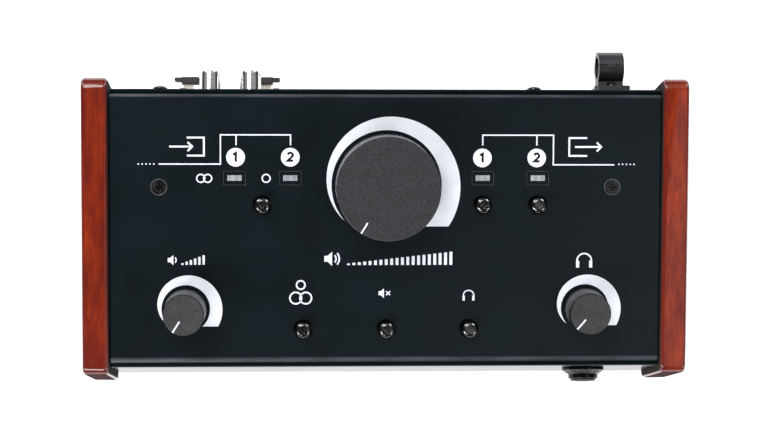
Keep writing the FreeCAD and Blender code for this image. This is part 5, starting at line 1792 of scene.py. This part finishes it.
@dataclass
class PhonoBarrels:
    """The two phono barrels: polished tubes with a rolled mouth and a turned groove behind it.

    length is the polished part's, and neck is how much less the radius is behind it. groove_edges lists how far
    behind the mouth the groove's two sides start and end.
    """

    node: str = "phono_shells"
    wall: float = 0.65 * MM
    neck: float = 0.25 * MM
    length: float = 8.45 * MM
    mouth: float = 0.5 * MM
    lip: float = 0.15 * MM
    groove: float = 0.12 * MM
    groove_edges: tuple[float, float, float, float] = (1.9 * MM, 1.8 * MM, 1.6 * MM, 1.5 * MM)

    def profile(self, radius: float, back: float, tip: float) -> np.ndarray:
        """Gives a barrel's closed profile.

        Args:
            radius: its outer radius.
            back: where it starts along its line.
            tip: where its mouth ends.

        Returns:
            Rows of radius and place along the line.
        """
        bore, neck, step = radius - self.wall, radius - self.neck, tip - self.length
        depths = (0.0, self.groove, self.groove, 0.0)
        groove = [[radius - depth, tip - behind] for depth, behind in zip(depths, self.groove_edges)]
        mouth = arc((radius - self.mouth, tip - self.mouth), self.mouth, 0.0, 90.0, 8)
        lip = arc((bore + self.lip, tip - self.lip), self.lip, 90.0, 180.0, 5)
        return np.concatenate([[[bore, back], [neck, back], [neck, step], [radius, step]], groove, mouth, lip])

    def build(self, bench: Bench) -> None:
        """Builds both barrels as one piece, each a lathe of a closed profile round its own line along Y.

        Args:
            bench: what the barrels are built with.
        """
        low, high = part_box(self.node)
        radius = (high.z - low.z) / 2.0
        turned = lathe(self.profile(radius, low.y, high.y), columns=72, wrap=True)
        axes = np.array([[1.0, 0.0, 0.0], [0.0, 0.0, -1.0], [0.0, 1.0, 0.0]])
        skins = [Place(np.array([x, 0.0, (low.z + high.z) / 2.0]), *axes).skin(turned)
                 for x in (low.x + radius, high.x - radius)]
        bench.fit("phono_barrels", Skin.merged(skins), "root", "nickel", [self.node])


@dataclass
class JackNut:
    """The headphone jack's nut: a fluted cone that narrows towards the user, with a lipped mouth.

    band is the plain part at its base, nose the one at its tip, and rim the tip's width round the bore.
    """

    node: str = "headphone_jack_nut"
    bore: float = 4.95 * MM
    rim: float = 0.8 * MM
    flutes: int = 12
    flute_depth: float = 0.35 * MM
    band: float = 0.9 * MM
    nose: float = 1.6 * MM
    lip: float = 0.35 * MM
    edge: float = 0.15 * MM
    mouth_step: float = 0.1 * MM

    def build(self, bench: Bench) -> None:
        """Builds the nut: a closed profile turned round the jack's line, its cone drawn in at each flute.

        The cone's radius at an angle is reduced by the flute depth times the fourth power of the cosine of half
        the flutes times the angle, faded out at both ends of the cone by the root of a sine.

        Args:
            bench: what the nut is built with.
        """
        low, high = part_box(self.node)
        x, z = (low.x + high.x) / 2.0, (low.z + high.z) / 2.0
        base, length = (high.x - low.x) / 2.0, high.y - low.y
        tip = self.bore + self.rim
        cone = np.linspace(0.0, 1.0, 14)
        foot = [[self.bore, 0.0], [base - self.edge, 0.0], [base, self.edge]]
        outer = np.stack([base + (tip - base) * cone,
                          self.band + (length - self.nose - self.band) * cone], axis=-1)
        lip = arc((tip - self.lip, length - self.lip), self.lip, 0.0, 90.0, 6)
        mouth = [[self.bore + self.mouth_step, length], [self.bore, length - self.edge]]
        profile = np.concatenate([foot, outer, lip, mouth])
        angle = np.linspace(0.0, 2.0 * np.pi, 192, endpoint=False)[None, :]
        fade = np.zeros(len(profile))
        fade[len(foot):len(foot) + len(cone)] = np.sqrt(np.sin(np.pi * cone).clip(0.0))
        drawn_in = self.flute_depth * fade[:, None] * np.cos(self.flutes * angle / 2.0) ** 4
        radius = profile[:, :1] - drawn_in
        height = profile[:, 1:2] + 0.0 * angle
        grid = np.stack([x + radius * np.sin(angle), high.y - height, z + radius * np.cos(angle)], axis=-1)
        bench.fit("jack_ring_nut", grid_skin(grid, wrap_rows=True), "root", "blackened_nut", [self.node])


# ------------------------------------------------------------------ the stage


@dataclass(frozen=True)
class Lamp:
    """A rectangular soft light: its name, where it hangs, its width and height, and its power in watts."""

    name: str
    spot: Triple
    size: Pair
    power: float


@dataclass
class Studio:
    """The floor, the soft lights and the camera. Sizes are in metres and turns in degrees.

    sight is the nearest and farthest that the camera sees. The sky sets in to the rear and upwards over the two
    ranges of its direction.
    """

    place: Triple = (-0.0340, -0.0986, 0.7600)
    turn: Triple = (9.48, -2.63, -0.40)
    lens: float = 87.9
    sensor: float = 36.0
    shift: float = -0.0703
    sight: Pair = (0.01, 20.0)
    floor_half: float = 2.0
    floor_dark: Triple = (246, 246, 246)
    floor_light: Triple = (250, 250, 250)
    floor_patches: float = 6.0
    floor_roughness: float = 0.7
    floor_glow: float = 0.45
    room: float = 0.08
    room_tint: Colour = (0.95, 0.97, 1.0, 1.0)
    sky: float = 0.6
    sky_rear: Pair = (0.05, 0.3)
    sky_height: Pair = (0.4, 0.6)
    aim: Triple = (0.0, 0.0, 0.04)
    lamps: tuple[Lamp, ...] = (
        Lamp("rear_left_softbox", (-0.8, 0.8, 0.7), (0.5, 0.4), 6.6),
        Lamp("rear_right_softbox", (0.8, 0.8, 0.7), (0.5, 0.4), 6.0),
        Lamp("front_left_softbox", (-0.8, -0.8, 0.65), (0.4, 0.34), 5.2),
        Lamp("front_right_softbox", (0.8, -0.8, 0.65), (0.4, 0.34), 4.2),
        Lamp("upper_right_panel", (0.75, -0.6, 1.2), (1.2, 1.2), 2.6),
        Lamp("rear_top_panel", (-0.30, 0.38, 1.10), (0.50, 0.5), 7.0),
        Lamp("front_low_panel", (-0.34, -0.76, 0.60), (0.50, 0.2), 4.5))

    def floor(self) -> None:
        """Lays a pale floor under the object, which glows a little."""
        half = self.floor_half
        ground = piece("floor", Skin(np.array([[-half, -half, 0.0], [half, -half, 0.0], [half, half, 0.0],
                                               [-half, half, 0.0]]), [[0, 1, 2, 3]]))
        made = bpy.data.materials.new("pale_floor")
        made.use_nodes = True
        wire = Wire(made.node_tree)
        coords = wire.node("ShaderNodeTexCoord").outputs["Object"]
        patches = wire.noise(coords, self.floor_patches, detail=2.0)
        shader = made.node_tree.nodes["Principled BSDF"]
        for name, value in (("Base Color", wire.blend(patches, srgb(*self.floor_dark), srgb(*self.floor_light))),
                            ("Roughness", self.floor_roughness), ("Emission Color", srgb(255, 255, 255)),
                            ("Emission Strength", self.floor_glow)):
            wire.feed(shader.inputs[name], value)
        ground.data.materials.append(made)

    def hang(self, lamp: Lamp) -> None:
        """Hangs a lamp, turned to face the studio's aim.

        Args:
            lamp: the lamp.
        """
        light = bpy.data.lights.new(lamp.name, "AREA")
        light.shape = "RECTANGLE"
        light.size, light.size_y = lamp.size
        light.energy = lamp.power
        hung = bpy.data.objects.new(lamp.name, light)
        hung.location = lamp.spot
        hung.rotation_euler = (Vector(self.aim) - Vector(lamp.spot)).to_track_quat("-Z", "Y").to_euler()
        bpy.context.scene.collection.objects.link(hung)

    def light_room(self) -> bpy.types.World:
        """Makes the room's even light, which is stronger from a wide white ceiling over the rear.

        Returns:
            The world, whose strength is the room's, and rises to the sky's to the rear and above.
        """
        world = bpy.data.worlds.new("soft_room")
        world.use_nodes = True
        wire = Wire(world.node_tree)
        way = wire.node("ShaderNodeTexCoord").outputs["Generated"]
        rear = wire.span(wire.part(way, "Y"), *self.sky_rear)
        above = wire.span(wire.part(way, "Z"), *self.sky_height)
        ceiling = wire.maths("MULTIPLY", rear, above)
        strength = wire.maths("ADD", self.room, wire.maths("MULTIPLY", ceiling, self.sky - self.room))
        background = world.node_tree.nodes["Background"]
        wire.feed(background.inputs["Color"], self.room_tint)
        wire.feed(background.inputs["Strength"], strength)
        return world

    def camera(self) -> bpy.types.Object:
        """Sets the camera up.

        Returns:
            The camera's object, in its place.
        """
        camera = bpy.data.cameras.new("camera")
        camera.lens, camera.sensor_width, camera.sensor_fit = self.lens, self.sensor, "HORIZONTAL"
        camera.shift_y = self.shift
        camera.clip_start, camera.clip_end = self.sight
        held = bpy.data.objects.new("camera", camera)
        held.location = self.place
        held.rotation_euler = Euler([math.radians(a) for a in self.turn], "XYZ")
        bpy.context.scene.collection.objects.link(held)
        return held

    def build(self) -> None:
        """Builds the floor, the lights, the room's light and the camera."""
        self.floor()
        scene = bpy.context.scene
        scene.world = self.light_room()
        for lamp in self.lamps:
            self.hang(lamp)
        scene.view_settings.view_transform = "Standard"
        scene.camera = self.camera()


# ------------------------------------------------------------------ main


def main() -> None:
    """Loads the frame, dresses it and builds every piece."""
    logging.basicConfig(level=logging.INFO, format="%(name)s: %(message)s")
    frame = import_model()
    cover = joint_place(frame, "main_knob_turn")
    low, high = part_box("left_cheek")
    paints = Paintbox(Effects())
    paints.mix(finishes(rear_end=high.y, front_end=low.y, facing=tuple(cover.out)))
    for part in frame["record"]["subparts"]:
        paints.dress(frame["nodes"][part["node"]], part["material_slot"])
    bench = Bench(frame, paints, cover)
    Case().build(bench)
    Knob("main", "main_knob_finish", wall=2.6 * MM, pointer=4.7 * MM, dish=0.05 * MM).build(bench)
    for name, angle in (("aux", 32.0), ("phones", 41.0)):
        Knob(name, "side_knob_finish", wall=1.65 * MM, pointer=4.9 * MM, dish=0.12 * MM,
             pointer_angle=angle).build(bench)
    for name in ("source", "output_1", "output_2", "mono", "mute", "listen"):
        Button(name).build(bench)
        ReturnSpring(name).build(bench)
    CoverPrint().build(bench)
    EdgeGlints().build(bench)
    PhonoBarrels().build(bench)
    JackNut().build(bench)
    Studio().build()


if __name__ == "__main__":
    main()
